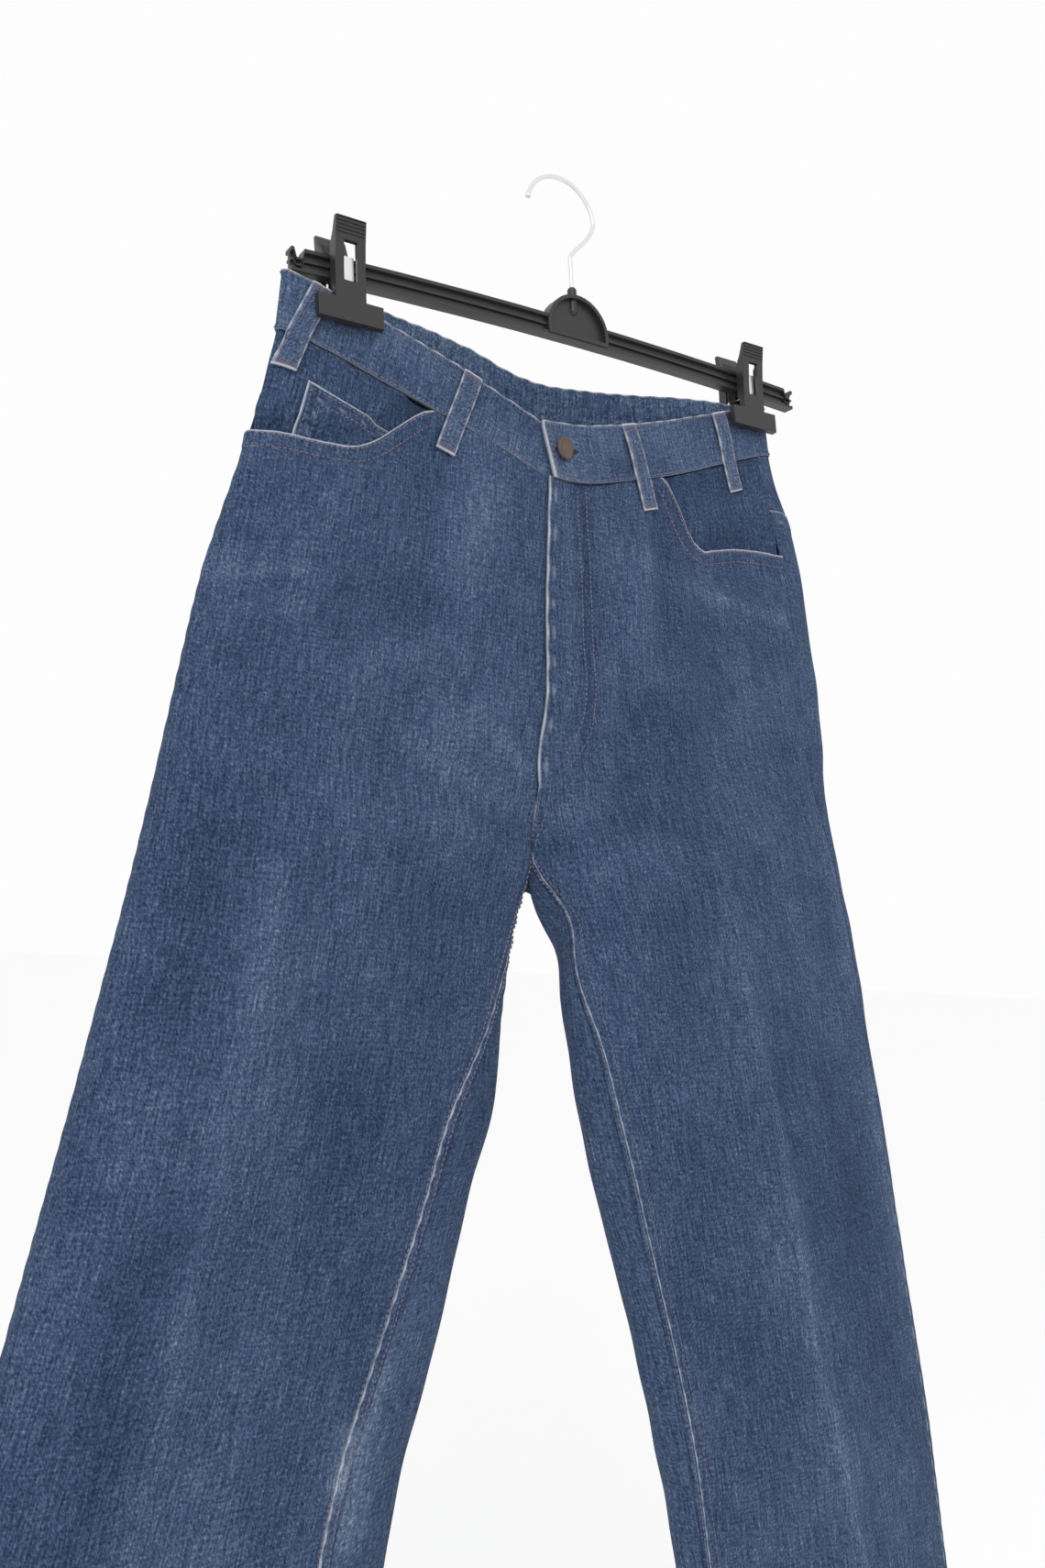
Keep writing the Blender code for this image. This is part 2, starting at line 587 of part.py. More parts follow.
def locate(side, face, x, z):
    """u and row of the surface point with a given x and z."""
    x = np.asarray(x, dtype=float)
    z = np.asarray(z, dtype=float)
    wide = smooth_table(z, leg_table(side), 1) - side * CENTRE_X
    turn = np.radians(smooth_table(z, leg_table(side), 7))
    sweep = 0.5 * np.pi + (-turn if face == "front" else turn)
    u = np.clip(np.arcsin(np.clip((x - CENTRE_X) * side / wide, 0.0, 0.99)) / sweep, 0.01, 0.98)
    row = np.clip((z + 0.17) / (CROTCH_Z + 0.17), 0.02, 0.95)
    d = 1e-4
    for _ in range(40):
        p = surface(side, face, u, row)
        pu = (surface(side, face, u + d, row) - p) / d
        pr = (surface(side, face, u, row + d) - p) / d
        ex = x - p[..., 0]
        ez = z - p[..., 2]
        det = pu[..., 0] * pr[..., 2] - pr[..., 0] * pu[..., 2]
        du = (ex * pr[..., 2] - pr[..., 0] * ez) / det
        dr = (pu[..., 0] * ez - pu[..., 2] * ex) / det
        u = np.clip(u + np.clip(du, -0.08, 0.08), 0.0, 1.0)
        row = np.clip(row + np.clip(dr, -0.08, 0.08), 0.0, 1.9)
    return u, row


def laid_on(under, x, z, way, n, lift):
    """Points over a finished piece, straight along Y from x and z, moved out by lift."""
    tree = BVHTree.FromPolygons(
        [v.co.copy() for v in under.data.vertices],
        [tuple(f.vertices) for f in under.data.polygons])
    points = np.empty(x.shape + (3,))
    for i in range(x.shape[0]):
        for j in range(x.shape[1]):
            spot, _, _, _ = tree.ray_cast(Vector((x[i, j], -0.3 * way, z[i, j])), Vector((0.0, way, 0.0)))
            points[i, j] = np.array(spot) + n[i, j] * lift
    return points


def patch(name, side, face, x, z, lift, thick, mat):
    """A piece that follows the cloth; lift is its inner face over the cloth."""
    u, row = locate(side, face, x, z)
    base = surface(side, face, u, row)
    n = out_normal(side, face, u, row)
    lift = np.broadcast_to(lift, u.shape)[..., None]
    return slab(name, base + n * (lift + thick), base + n * lift, mat)


# Pocket facings. They fill the panel's own layer over the mouth and sink
# behind the front panel from just above it.
SINK = {-1: 0.0039, 1: 0.0023}
TUCK = {-1: 0.15, 1: 0.035}


def facing_sink(side, u, drop):
    seam_x = surface(side, "front", u, np.zeros_like(u))[..., 0]
    start = mouth_drop(side, seam_x - side * 0.005) - 0.014
    return SINK[side] * ease((drop - start) / 0.010)


facings = {}
for side, word in SIDES:
    rows_table = MOUTH_RIGHT if side < 0 else MOUTH_LEFT
    first = rows_table[0, 0] - 0.010
    u_first, _ = locate(side, "front", CENTRE_X + side * first, -0.21)
    u = np.concatenate([np.linspace(float(u_first), 0.80, 9), [0.87, 0.94, 1.0]])
    seam_x = surface(side, "front", u, np.zeros_like(u))[:, 0]
    mouth = mouth_drop(side, seam_x)
    t = np.array([0.0, 0.30, 0.60, 0.76, 0.88, 1.0, 1.16, 1.32])
    reach = np.maximum(mouth, 0.012)
    drop = 0.0005 + (reach[:, None] - 0.0005) * np.minimum(t, 1.0)[None, :]
    drop = drop + 0.024 * np.maximum(t - 1.0, 0.0)[None, :] / 0.32
    reach_u = 1.0 - TUCK[side] * ease((t - 0.60) / 0.28)
    share = (u - u[0]) / (u[-1] - u[0])
    uu = u[0] + (reach_u[None, :] - u[0]) * share[:, None]
    rows = row_of_drop(side, "front", uu, drop)
    uu[-1] = np.minimum(uu[-1], trimmed(side, "front", u, rows)[-1])
    base = surface(side, "front", uu, rows)
    n = out_normal(side, "front", uu, rows)
    n[-1, :3] = border_normals(side, rows[-1, :3], True)
    outer = base - n * facing_sink(side, uu, drop)[..., None]
    facings[side] = slab(f"pocket_facing_{word}", outer, outer - n * 0.0012, denim_dark)

# Coin pocket on the wearer's right facing
s = np.linspace(0.0, 1.0, 8)[:, None]
t = np.linspace(0.0, 1.0, 7)[None, :]
top_x = -0.1700 + 0.0590 * s
top_z = -0.1965 - 0.0170 * s
low_x = -0.1815 + 0.0710 * s
low_z = -0.2500 + 0.0180 * s
x = top_x * (1.0 - t) + low_x * t
z = top_z * (1.0 - t) + low_z * t
u, row = locate(-1, "front", x, z)
n = out_normal(-1, "front", u, row)
inner = laid_on(facings[-1], x, z, 1.0, n, 0.0010)
slab("coin_pocket", inner + n * 0.0010, inner, denim)

# Back pockets, plain five-sided patches
POCKET_TOP = 0.150
POCKET_LOW = 0.128
POCKET_TALL = 0.146
POCKET_POINT = 0.022
for side, word in SIDES:
    s = np.linspace(-0.5, 0.5, 13)[:, None]
    t = np.concatenate([np.linspace(0.0, 0.60, 6), [0.70, 0.79, 0.86, 0.92, 0.96, 1.0]])[None, :]
    wide = POCKET_TOP * (1.0 - t) + POCKET_LOW * t
    middle = CENTRE_X + side * (0.104 + 0.006 * t)
    top_line = -0.256 + side * 0.006 + 0.010 * side * s
    x = middle + s * wide
    z = top_line - (POCKET_TALL + POCKET_POINT * (1.0 - 2.0 * np.abs(s))) * t
    u, row = locate(side, "back", x, z)
    n = out_normal(side, "back", u, row)
    inner = laid_on(backs[side], x, z, -1.0, n, 0.0010)
    slab(f"back_pocket_{word}", inner + n * 0.0014, inner, denim)

# Fly: the zip behind the overlapping edge and the shield behind the zip
t = np.linspace(0.0, 1.0, 12)[None, :]
s = np.linspace(0.0, 1.0, 5)[:, None]
z = -0.2135 - 0.1810 * t
edge = smooth_table(z, RISE_FRONT, 1, 3)
x = edge + 0.0030 + s * 0.026
patch("zip_tape", 1, "front", x, np.broadcast_to(z + 0.010 * t, x.shape), -0.0034, 0.0014, denim_dark)
s = np.array([-0.0085, -0.0060, 0.0006, 0.0100, 0.0200, 0.0300, 0.0390])[:, None]
x = edge + s
z_here = np.broadcast_to(z + 0.006 * t, x.shape)
outer = np.empty(x.shape + (3,))
n = np.empty_like(outer)
for side, chosen in ((-1, s[:, 0] < 0.0), (1, s[:, 0] >= 0.0)):
    u, row = locate(side, "front", x[chosen], z_here[chosen])
    outer[chosen] = surface(side, "front", u, row)
    n[chosen] = out_normal(side, "front", u, row)
sink = 0.0021 + 0.0029 * ease((s + 0.0060) / 0.0064)
outer = outer - n * sink[..., None]
slab("fly_shield", outer, outer - n * 0.0012, denim_dark)


# Waistband: one strip from its underlap end round the back to the overlap end
def band_base(half, seam_x, height):
    """The band's middle layer. half is fr, ba or fl; height runs 0 to 1."""
    top_table = {"fr": TOP_FRONT_RIGHT, "ba": TOP_BACK, "fl": TOP_FRONT_LEFT}[half]
    seam_table = SEAM_BACK if half == "ba" else SEAM_FRONT
    low = np.stack([
        seam_x + 0.0 * height,
        smooth_table(seam_x, seam_table, 1) + 0.0 * height,
        smooth_table(seam_x, seam_table, 2) + 0.0002 + 0.0 * height], -1)
    top = np.stack([
        smooth_table(seam_x, top_table, 1) + 0.0 * height,
        smooth_table(seam_x, top_table, 2) + 0.0 * height,
        smooth_table(seam_x, top_table, 3) + 0.0 * height], -1)
    point = low * (1.0 - height)[..., None] + top * height[..., None]
    if half == "fr":
        point[..., 1] += 0.0019 * ease((seam_x + 0.045) / 0.030) + 0.0 * height
    if half == "fl":
        point[..., 1] -= 0.0015 * ease((0.060 - seam_x) / 0.030) + 0.0 * height
    return point


HEIGHTS = np.array([0.0, 0.22, 0.42, 0.59, 0.80, 1.0])
STATIONS = (
    [("fr", v) for v in (0.0240, 0.0080, -0.0080, -0.0240, -0.0400, -0.0620, -0.0830, -0.1060,
                         -0.1300, -0.1480, -0.1650, -0.1760, -0.1840, -0.1868, -0.1881)]
    + [("ba", v) for v in (-0.1885, -0.1881, -0.1868, -0.1840, -0.1760, -0.1650, -0.1480, -0.1300,
                           -0.1060, -0.0830, -0.0600, -0.0350, -0.0090, 0.0200, 0.0500, 0.0770,
                           0.1040, 0.1300, 0.1460, 0.1600, 0.1760, 0.1865, 0.1908, 0.1926, 0.1930)]
    + [("fl", v) for v in (0.1926, 0.1908, 0.1865, 0.1750, 0.1600, 0.1450, 0.1220, 0.0980, 0.0750,
                           0.0510, 0.0330, 0.0150, -0.0022, -0.0065)]
)
grid = np.array([band_base(half, np.full(len(HEIGHTS), v), HEIGHTS) for half, v in STATIONS])
n = normals(grid)
if n[4, 1, 1] > 0.0:
    n = -n
band_outer = grid + n * BAND_PROUD
band_inner = band_outer - n * BAND_WALL
hole = len(STATIONS) - 3
slab("waistband", band_outer, band_inner, denim_band, skip=((hole, 2),))


def band_frame(half, seam_x, height):
    """A point of the band's outside with its outward and lengthwise directions."""
    d = 0.001
    v = np.array([seam_x, seam_x - d, seam_x + d, seam_x, seam_x])
    h = np.array([height, height, height, height - 0.02, height + 0.02])
    p = band_base(half, v, h)
    along = p[2] - p[1]
    along /= np.linalg.norm(along)
    n = np.cross(along, p[4] - p[3])
    n /= np.linalg.norm(n)
    toward = 1.0 if half == "ba" else -1.0
    if n[1] * toward < 0.0:
        n = -n
    return p[0] + n * BAND_PROUD, n, along


# Belt loops: half of the band, seam x at the top, seam x at the seam, x and
# z of the lower end.
LOOPS = {
    "belt_loop_1": ("fr", -0.1690, -0.1775, -0.1840, -0.1930),
    "belt_loop_2": ("fr", -0.0755, -0.0770, -0.0840, -0.2160),
    "belt_loop_3": ("fl", 0.0650, 0.0655, 0.0725, -0.2130),
    "belt_loop_4": ("fl", 0.1490, 0.1490, 0.1560, -0.1760),
    "belt_loop_5": ("ba", 0.0900, 0.0900, 0.0905, -0.1800),
    "belt_loop_6": ("ba", -0.0090, -0.0090, -0.0090, -0.1950),
    "belt_loop_7": ("ba", -0.1050, -0.1050, -0.1052, -0.1920),
}
for name, (half, seam_top, seam_low, end_x, end_z) in LOOPS.items():
    side = -1 if end_x < CENTRE_X else 1
    face = "back" if half == "ba" else "front"
    _, _, along = band_frame(half, seam_low, 0.0)
    inner = []
    outer = []
    for k in (-0.5, 0.0, 0.5):
        line = []
        for t in np.linspace(1.0, 0.0, 7):
            v = seam_top * t + seam_low * (1.0 - t) + k * LOOP_WIDTH * along[0]
            p, out, _ = band_frame(half, v, t)
            bow = 0.0004 + 0.0010 * math.sin(math.pi * min(1.0, (1.0 - t) * 1.1))
            line.append((p + out * bow, out))
        start = line[-1][0]
        for t in (0.30, 0.55, 0.80, 1.0):
            x = start[0] * (1.0 - t) + (end_x + k * LOOP_WIDTH * along[0]) * t
            z = start[2] * (1.0 - t) + (end_z + k * LOOP_WIDTH * along[2]) * t
            beside = side
            if abs(end_x - CENTRE_X) < 0.001:
                beside = -1 if x < CENTRE_X else 1
                x = x + 0.0002 * beside
            u, row = locate(beside, face, np.array([x]), np.array([z]))
            p = surface(beside, face, u, row)[0]
            out = out_normal(beside, face, u, row)[0]
            if abs(end_x - CENTRE_X) < 0.001:
                out[0] *= 0.2
                out /= np.linalg.norm(out)
            line.append((p + out * (0.0014 * (1.0 - t) + 0.0006 * t), out))
        inner.append([p for p, out in line])
        outer.append([p + out * LOOP_WALL for p, out in line])
    slab(name, np.array(outer), np.array(inner), denim_band)


def lathe(name, profile, origin, axis, segments, mat):
    """A closed turned solid. profile holds (radius, distance along the axis)."""
    axis = np.array(axis) / np.linalg.norm(axis)
    side_way = np.cross(axis, (0.0, 0.0, 1.0))
    side_way /= np.linalg.norm(side_way)
    up_way = np.cross(side_way, axis)
    verts = [np.array(origin) + axis * profile[0][1]]
    for radius, along in profile[1:-1]:
        for k in range(segments):
            a = 2.0 * math.pi * k / segments
            verts.append(np.array(origin) + axis * along
                         + radius * (side_way * math.cos(a) + up_way * math.sin(a)))
    verts.append(np.array(origin) + axis * profile[-1][1])
    rings = len(profile) - 2
    faces = []
    for k in range(segments):
        nxt = (k + 1) % segments
        faces.append((0, 1 + k, 1 + nxt))
        for r in range(rings - 1):
            a = 1 + r * segments
            b = a + segments
            faces.append((a + k, b + k, b + nxt, a + nxt))
        a = 1 + (rings - 1) * segments
        faces.append((a + nxt, a + k, len(verts) - 1))
    return add_mesh(name, verts, faces, mat)


# Waist button: head in front of the band, shank through the buttonhole
i = hole
hole_middle = 0.25 * (band_outer[i, 2] + band_outer[i + 1, 2] + band_outer[i, 3] + band_outer[i + 1, 3])
BUTTON_TURN = math.radians(15.0)
button_axis = (math.sin(BUTTON_TURN), -math.cos(BUTTON_TURN), 0.0)
head = hole_middle + np.array([-0.0035, -0.0036, 0.0])
lathe("waist_button", [
    (0.0, 0.0012), (0.0045, 0.0012), (0.0062, 0.0018), (0.0070, 0.0014), (0.0074, 0.0004),
    (0.0068, -0.0006), (0.0018, -0.0010), (0.0015, -0.0064), (0.0, -0.0064),
], head, button_axis, 20, brass)


# Hanger, drawn in its own frame: x along the bar, z up from the bar's lower edge
def hung(x, y, z):
    dx = x - HANGER_POINT[0]
    dz = z - HANGER_POINT[1]
    c = math.cos(HANGER_TILT)
    s = math.sin(HANGER_TILT)
    return (dx * c - dz * s, y, dx * s + dz * c)


def bar_low(x):
    return -0.0053 * (x / 0.2) ** 2


def prism(name, outline, low, high, axis, mat, hidden=False):
    """A straight solid on a closed outline, drawn in the hanger's frame."""
    count = len(outline)
    verts = []
    for along in (low, high):
        for a, b in outline:
            verts.append(hung(a, along, b) if axis == "y" else hung(along, a, b))
    faces = [tuple(range(count)), tuple(range(2 * count - 1, count - 1, -1))]
    for k in range(count):
        nxt = (k + 1) % count
        faces.append((k, nxt, count + nxt, count + k))
    obj = add_mesh(name, verts, faces, mat)
    obj.hide_render = hidden
    return obj


def combine(target, other, operation):
    cut = target.modifiers.new(operation.lower(), "BOOLEAN")
    cut.operation = operation
    cut.solver = "EXACT"
    cut.object = other


section = [
    (-0.0040, 0.0000), (0.0040, 0.0000), (0.0040, 0.0022), (0.0012, 0.0026), (0.0012, 0.0058),
    (0.0030, 0.0062), (0.0030, 0.0074), (0.0012, 0.0078), (0.0012, 0.0111), (0.0040, 0.0115),
    (0.0040, 0.0137), (-0.0040, 0.0137), (-0.0040, 0.0115), (-0.0012, 0.0111), (-0.0012, 0.0078),
    (-0.0030, 0.0074), (-0.0030, 0.0062), (-0.0012, 0.0058), (-0.0012, 0.0026), (-0.0040, 0.0022),
]
bar_x = np.concatenate([[-0.2003, -0.1985, -0.1970, -0.1935, -0.1920], np.linspace(-0.170, 0.170, 9),
                        [0.1920, 0.1935, 0.1970, 0.1985, 0.2003]])
verts = []
for x in bar_x:
    notch = 1.0 if 0.1930 < abs(x) < 0.1975 else 0.0
    for y, z in section:
        verts.append(hung(x, y, bar_low(x) + z * (1.0 - 0.42 * notch)))
count = len(section)
faces = [tuple(range(count)), tuple(range(len(verts) - 1, len(verts) - count - 1, -1))]
for i in range(len(bar_x) - 1):
    for k in range(count):
        nxt = (k + 1) % count
        faces.append((i * count + k, (i + 1) * count + k, (i + 1) * count + nxt, i * count + nxt))
bar = add_mesh("hanger_bar", verts, faces, black)


def dish(radius, floor, steps=22):
    """A round outline cut flat at the bottom, about the hub's middle."""
    middle_x = 0.0012
    middle_z = 0.0068
    reach = math.asin((middle_z - floor) / radius)
    return [(middle_x + radius * math.cos(a), middle_z + radius * math.sin(a))
            for a in np.linspace(-reach, math.pi + reach, steps)]


combine(bar, prism("hub_space", dish(0.0222, 0.0036), -0.010, 0.010, "y", black, True), "DIFFERENCE")
rim = prism("hub_rim", dish(0.0245, 0.0011), -0.0046, 0.0046, "y", black, True)
combine(rim, prism("hub_hollow", dish(0.0221, 0.0037), -0.012, 0.012, "y", black, True), "DIFFERENCE")
combine(bar, rim, "UNION")
combine(bar, prism("hub_web", dish(0.0232, 0.0028), -0.0010, 0.0010, "y", black, True), "UNION")
boss_foot = np.array(hung(0.0, 0.0, 0.0185))
boss_way = np.array(hung(0.0, 0.0, 1.0)) - np.array(hung(0.0, 0.0, 0.0))
boss = lathe("hub_boss", [
    (0.0, 0.0), (0.0018, 0.0004), (0.0031, 0.0022), (0.0031, 0.0175), (0.0024, 0.0188), (0.0, 0.0193),
], boss_foot, boss_way, 16, black)
boss.hide_render = True
combine(bar, boss, "UNION")

# Hook: a bent wire from the boss, round its open circle to the tip
HOOK_RING = 0.0270
hook_path = [(0.0, 0.0381), (-0.0001, 0.0450), (-0.0003, 0.0530), (-0.0003, 0.0580), (0.0010, 0.0610),
             (0.0040, 0.0645), (0.0090, 0.0695), (0.0140, 0.0750), (0.0178, 0.0805)]
for degrees in range(6, 166, 12):
    a = math.radians(degrees)
    hook_path.append((-0.0066 + HOOK_RING * math.cos(a), 0.0847 + HOOK_RING * math.sin(a)))
a = math.radians(166)
hook_path.append((-0.0066 + HOOK_RING * math.cos(a), 0.0847 + HOOK_RING * math.sin(a)))
path = np.array([hung(x, 0.0, z) for x, z in hook_path])
way = np.gradient(path, axis=0)
way /= np.linalg.norm(way, axis=1, keepdims=True)
verts = []
WIRE_SIDES = 10
swell = np.ones(len(path))
swell[-1] = 1.35
for k in range(len(path)):
    across = np.cross(way[k], (0.0, 1.0, 0.0))
    for j in range(WIRE_SIDES):
        a = 2.0 * math.pi * j / WIRE_SIDES
        verts.append(path[k] + WIRE_RADIUS * swell[k] * (across * math.cos(a)
                     + np.array((0.0, 1.0, 0.0)) * math.sin(a)))
faces = [tuple(range(WIRE_SIDES))]
for k in range(len(path) - 1):
    for j in range(WIRE_SIDES):
        nxt = (j + 1) % WIRE_SIDES
        faces.append((k * WIRE_SIDES + j, (k + 1) * WIRE_SIDES + j,
                      (k + 1) * WIRE_SIDES + nxt, k * WIRE_SIDES + nxt))
last = (len(path) - 1) * WIRE_SIDES
ball = len(verts)
for j in range(WIRE_SIDES):
    a = 2.0 * math.pi * j / WIRE_SIDES
    across = np.cross(way[-1], (0.0, 1.0, 0.0))
    verts.append(path[-1] + way[-1] * 0.0012 + WIRE_RADIUS * 0.95 * (
        across * math.cos(a) + np.array((0.0, 1.0, 0.0)) * math.sin(a)))
for j in range(WIRE_SIDES):
    nxt = (j + 1) % WIRE_SIDES
    faces.append((last + j, ball + j, ball + nxt, last + nxt))
faces.append(tuple(range(ball, ball + WIRE_SIDES)))
add_mesh("hanger_hook", verts, faces, steel)

# Clips: a front and a rear half each, with the steel spring between them
LEVER_WIDTH = 0.0191
JAW_WIDTH = 0.0408
for word, clip_x in (("right", CLIP_X[0]), ("left", CLIP_X[1])):
    for part, turn in (("front", 1.0), ("rear", -1.0)):
        lever = [(-0.0125, 0.0288), (-0.0150, 0.0286), (-0.0136, 0.0170), (-0.0126, 0.0), (-0.0128, -0.0200),
                 (-0.0079, -0.0200), (-0.0079, -0.0125), (-0.0058, -0.0085), (-0.0058, 0.0140),
                 (-0.0095, 0.0205)]
        jaw = [(-0.0128, -0.0187), (-0.0134, -0.0320), (-0.0092, -0.0323), (-0.0086, -0.0187)]
        pad = [(-0.0100, -0.0200), (-0.0110, -0.0316), (-0.0064, -0.0316), (-0.0056, -0.0298),
               (-0.0056, -0.0220), (-0.0066, -0.0200)]
        half = 0.5 * LEVER_WIDTH
        body = prism(f"clip_{word}_{part}", [(turn * y, z) for y, z in lever],
                     clip_x - half, clip_x + half, "x", black)
        inside = [(-0.0105, 0.0235), (-0.0105, -0.0150), (-0.0030, -0.0150), (-0.0030, 0.0235)]
        space = prism(f"clip_{word}_{part}_space", [(turn * y, z) for y, z in inside],
                      clip_x - half + 0.0021, clip_x + half - 0.0021, "x", black, True)
        combine(body, space, "DIFFERENCE")
        slot = [(-0.0200, 0.0158), (-0.0200, -0.0078), (-0.0090, -0.0078), (-0.0090, 0.0158)]
        window = prism(f"clip_{word}_{part}_window", [(turn * y, z) for y, z in slot],
                       clip_x - 0.0041, clip_x + 0.0041, "x", black, True)
        combine(body, window, "DIFFERENCE")
        grip = prism(f"clip_{word}_{part}_jaw", [(turn * y, z) for y, z in jaw],
                     clip_x - 0.5 * JAW_WIDTH, clip_x + 0.5 * JAW_WIDTH, "x", black, True)
        combine(body, grip, "UNION")
        bite = prism(f"clip_{word}_{part}_pad", [(turn * y, z) for y, z in pad],
                     clip_x - 0.0074, clip_x + 0.0074, "x", black, True)
        combine(body, bite, "UNION")
    strip = [(-0.0098, 0.0080), (-0.0098, -0.0060), (-0.0086, -0.0080), (0.0086, -0.0080),
             (0.0098, -0.0060), (0.0098, 0.0080), (0.0092, 0.0080), (0.0092, -0.0058),
             (0.0083, -0.0074), (-0.0083, -0.0074), (-0.0092, -0.0058), (-0.0092, 0.0080)]
    prism(f"clip_{word}_spring", strip, clip_x - 0.0034, clip_x + 0.0034, "x", steel)
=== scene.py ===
# Looks of the denim jeans on their clip hanger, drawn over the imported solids.
# Metres, +Z up, the garment's front faces -Y, the hook's inside top is the origin.
import math

import bpy
import numpy as np
from mathutils import Matrix, Vector


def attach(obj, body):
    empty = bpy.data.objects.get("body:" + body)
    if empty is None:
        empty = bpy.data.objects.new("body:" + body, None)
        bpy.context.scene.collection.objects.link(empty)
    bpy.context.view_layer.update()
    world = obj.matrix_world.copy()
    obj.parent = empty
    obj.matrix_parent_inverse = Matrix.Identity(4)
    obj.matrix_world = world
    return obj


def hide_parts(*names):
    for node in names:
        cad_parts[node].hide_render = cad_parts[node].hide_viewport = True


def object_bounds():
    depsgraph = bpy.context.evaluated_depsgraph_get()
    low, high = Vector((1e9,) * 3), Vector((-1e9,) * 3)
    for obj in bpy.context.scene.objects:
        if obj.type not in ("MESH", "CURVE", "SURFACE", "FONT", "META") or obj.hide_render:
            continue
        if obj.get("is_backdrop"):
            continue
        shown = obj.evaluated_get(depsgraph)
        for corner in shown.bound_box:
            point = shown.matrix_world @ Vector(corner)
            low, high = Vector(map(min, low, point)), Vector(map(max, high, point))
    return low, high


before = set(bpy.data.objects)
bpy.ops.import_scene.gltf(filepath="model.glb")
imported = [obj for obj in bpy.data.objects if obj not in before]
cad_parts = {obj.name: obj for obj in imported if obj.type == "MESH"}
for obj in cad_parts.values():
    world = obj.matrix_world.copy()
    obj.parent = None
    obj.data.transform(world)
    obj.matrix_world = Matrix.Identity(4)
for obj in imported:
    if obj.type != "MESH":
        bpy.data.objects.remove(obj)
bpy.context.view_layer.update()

CLOTH = 0.0016
CROTCH_Z = -0.447
HEM_Z = -1.240
CENTRE_X = -0.009
ROUND = 0.78
HEM_DEPTH = 0.014
BAND_PROUD = 0.0008
BAND_WALL = 0.0026
BAND_TALL = 0.0375
FACING_WALL = 0.0012
COIN_WALL = 0.0010
PATCH_WALL = 0.0014
WEAVE_DEPTH = 0.00035
BASE_SHADE = 0.40
LOOP_WIDTH = 0.0126
LOOP_WALL = 0.0015
HANGER_TILT = math.radians(5.5)
HANGER_POINT = (-0.0046, 0.1101)
CLIP_X = (-0.168, 0.151)
WORLD_STRENGTH = 0.985
KEY_POWER = 14.0
KEY_SIZE = 0.9
KEY_AT = (-1.3, -1.9, 0.6)
KEY_AIM = (0.0, 0.0, -0.5)
FLOOR_Z = -1.32
FLOOR_SIZE = 120.0
CAMERA_AT = (-0.4214, -0.6080, -0.5108)

# Form. The same short tables and curves as the solids, so that the cloth
# drawn here lies on them; columns are named above each table.
# Legs, one row a level. Columns: z, outer x, inner x (both positive away
# from the wearer's middle), middle y, front depth, back depth, inseam angle,
# outseam angle (degrees forward of the leg's own edge).
LEG_RIGHT = np.array([
    (-0.135, 0.1865, 0.009, 0.000, 0.008, 0.012, 0, -6),
    (-0.170, 0.1885, 0.009, 0.000, 0.011, 0.018, 0, -6),
    (-0.227, 0.1980, 0.009, 0.000, 0.014, 0.028, 0, -6),
    (-0.314, 0.2175, 0.009, 0.000, 0.016, 0.036, 0, -6),
    (-0.394, 0.2290, 0.009, 0.000, 0.019, 0.038, 0, -6),
    (-0.447, 0.2360, 0.009, 0.000, 0.022, 0.036, 0, -6),
    (-0.498, 0.2440, 0.016, 0.000, 0.024, 0.034, 6, -6),
    (-0.530, 0.2495, 0.020, 0.000, 0.025, 0.033, 18, -6),
    (-0.591, 0.2600, 0.023, 0.000, 0.026, 0.031, 42, -6),
    (-0.640, 0.2690, 0.036, 0.000, 0.026, 0.030, 44, -6),
    (-0.701, 0.2800, 0.050, 0.000, 0.025, 0.029, 48, -6),
    (-0.778, 0.2940, 0.069, 0.000, 0.024, 0.028, 52, -6),
    (-0.900, 0.3110, 0.088, 0.000, 0.023, 0.026, 48, -4),
    (-1.000, 0.3200, 0.098, 0.001, 0.023, 0.025, 44, 0),
    (-1.100, 0.3250, 0.102, 0.002, 0.022, 0.024, 38, 4),
    (-1.240, 0.3290, 0.102, 0.003, 0.022, 0.023, 34, 6),
])
LEG_LEFT = np.array([
    (-0.100, 0.1880, -0.009, 0.000, 0.008, 0.012, 0, 22),
    (-0.138, 0.1930, -0.009, -0.002, 0.011, 0.018, 0, 22),
    (-0.178, 0.2090, -0.009, -0.005, 0.013, 0.024, 0, 24),
    (-0.266, 0.2270, -0.009, -0.010, 0.016, 0.034, 0, 26),
    (-0.327, 0.2320, -0.009, -0.015, 0.018, 0.037, 0, 26),
    (-0.393, 0.2350, -0.009, -0.021, 0.020, 0.038, 0, 26),
    (-0.447, 0.2415, -0.009, -0.026, 0.022, 0.036, 0, 26),
    (-0.480, 0.2475, 0.004, -0.029, 0.023, 0.035, 2, 26),
    (-0.516, 0.2535, 0.006, -0.032, 0.024, 0.033, 6, 26),
    (-0.552, 0.2595, 0.011, -0.034, 0.025, 0.032, 18, 26),
    (-0.603, 0.2680, 0.020, -0.038, 0.026, 0.031, 24, 26),
    (-0.649, 0.2755, 0.0315, -0.041, 0.026, 0.030, 26, 26),
    (-0.714, 0.2865, 0.053, -0.045, 0.025, 0.029, 25, 26),
    (-0.770, 0.2960, 0.068, -0.049, 0.024, 0.028, 25, 26),
    (-0.846, 0.3110, 0.088, -0.050, 0.023, 0.027, 22, 26),
    (-0.900, 0.3205, 0.100, -0.050, 0.023, 0.026, 20, 24),
    (-1.000, 0.3358, 0.115, -0.049, 0.023, 0.025, 18, 20),
    (-1.100, 0.3452, 0.121, -0.047, 0.022, 0.024, 16, 16),
    (-1.240, 0.3508, 0.121, -0.045, 0.022, 0.023, 16, 14),
])

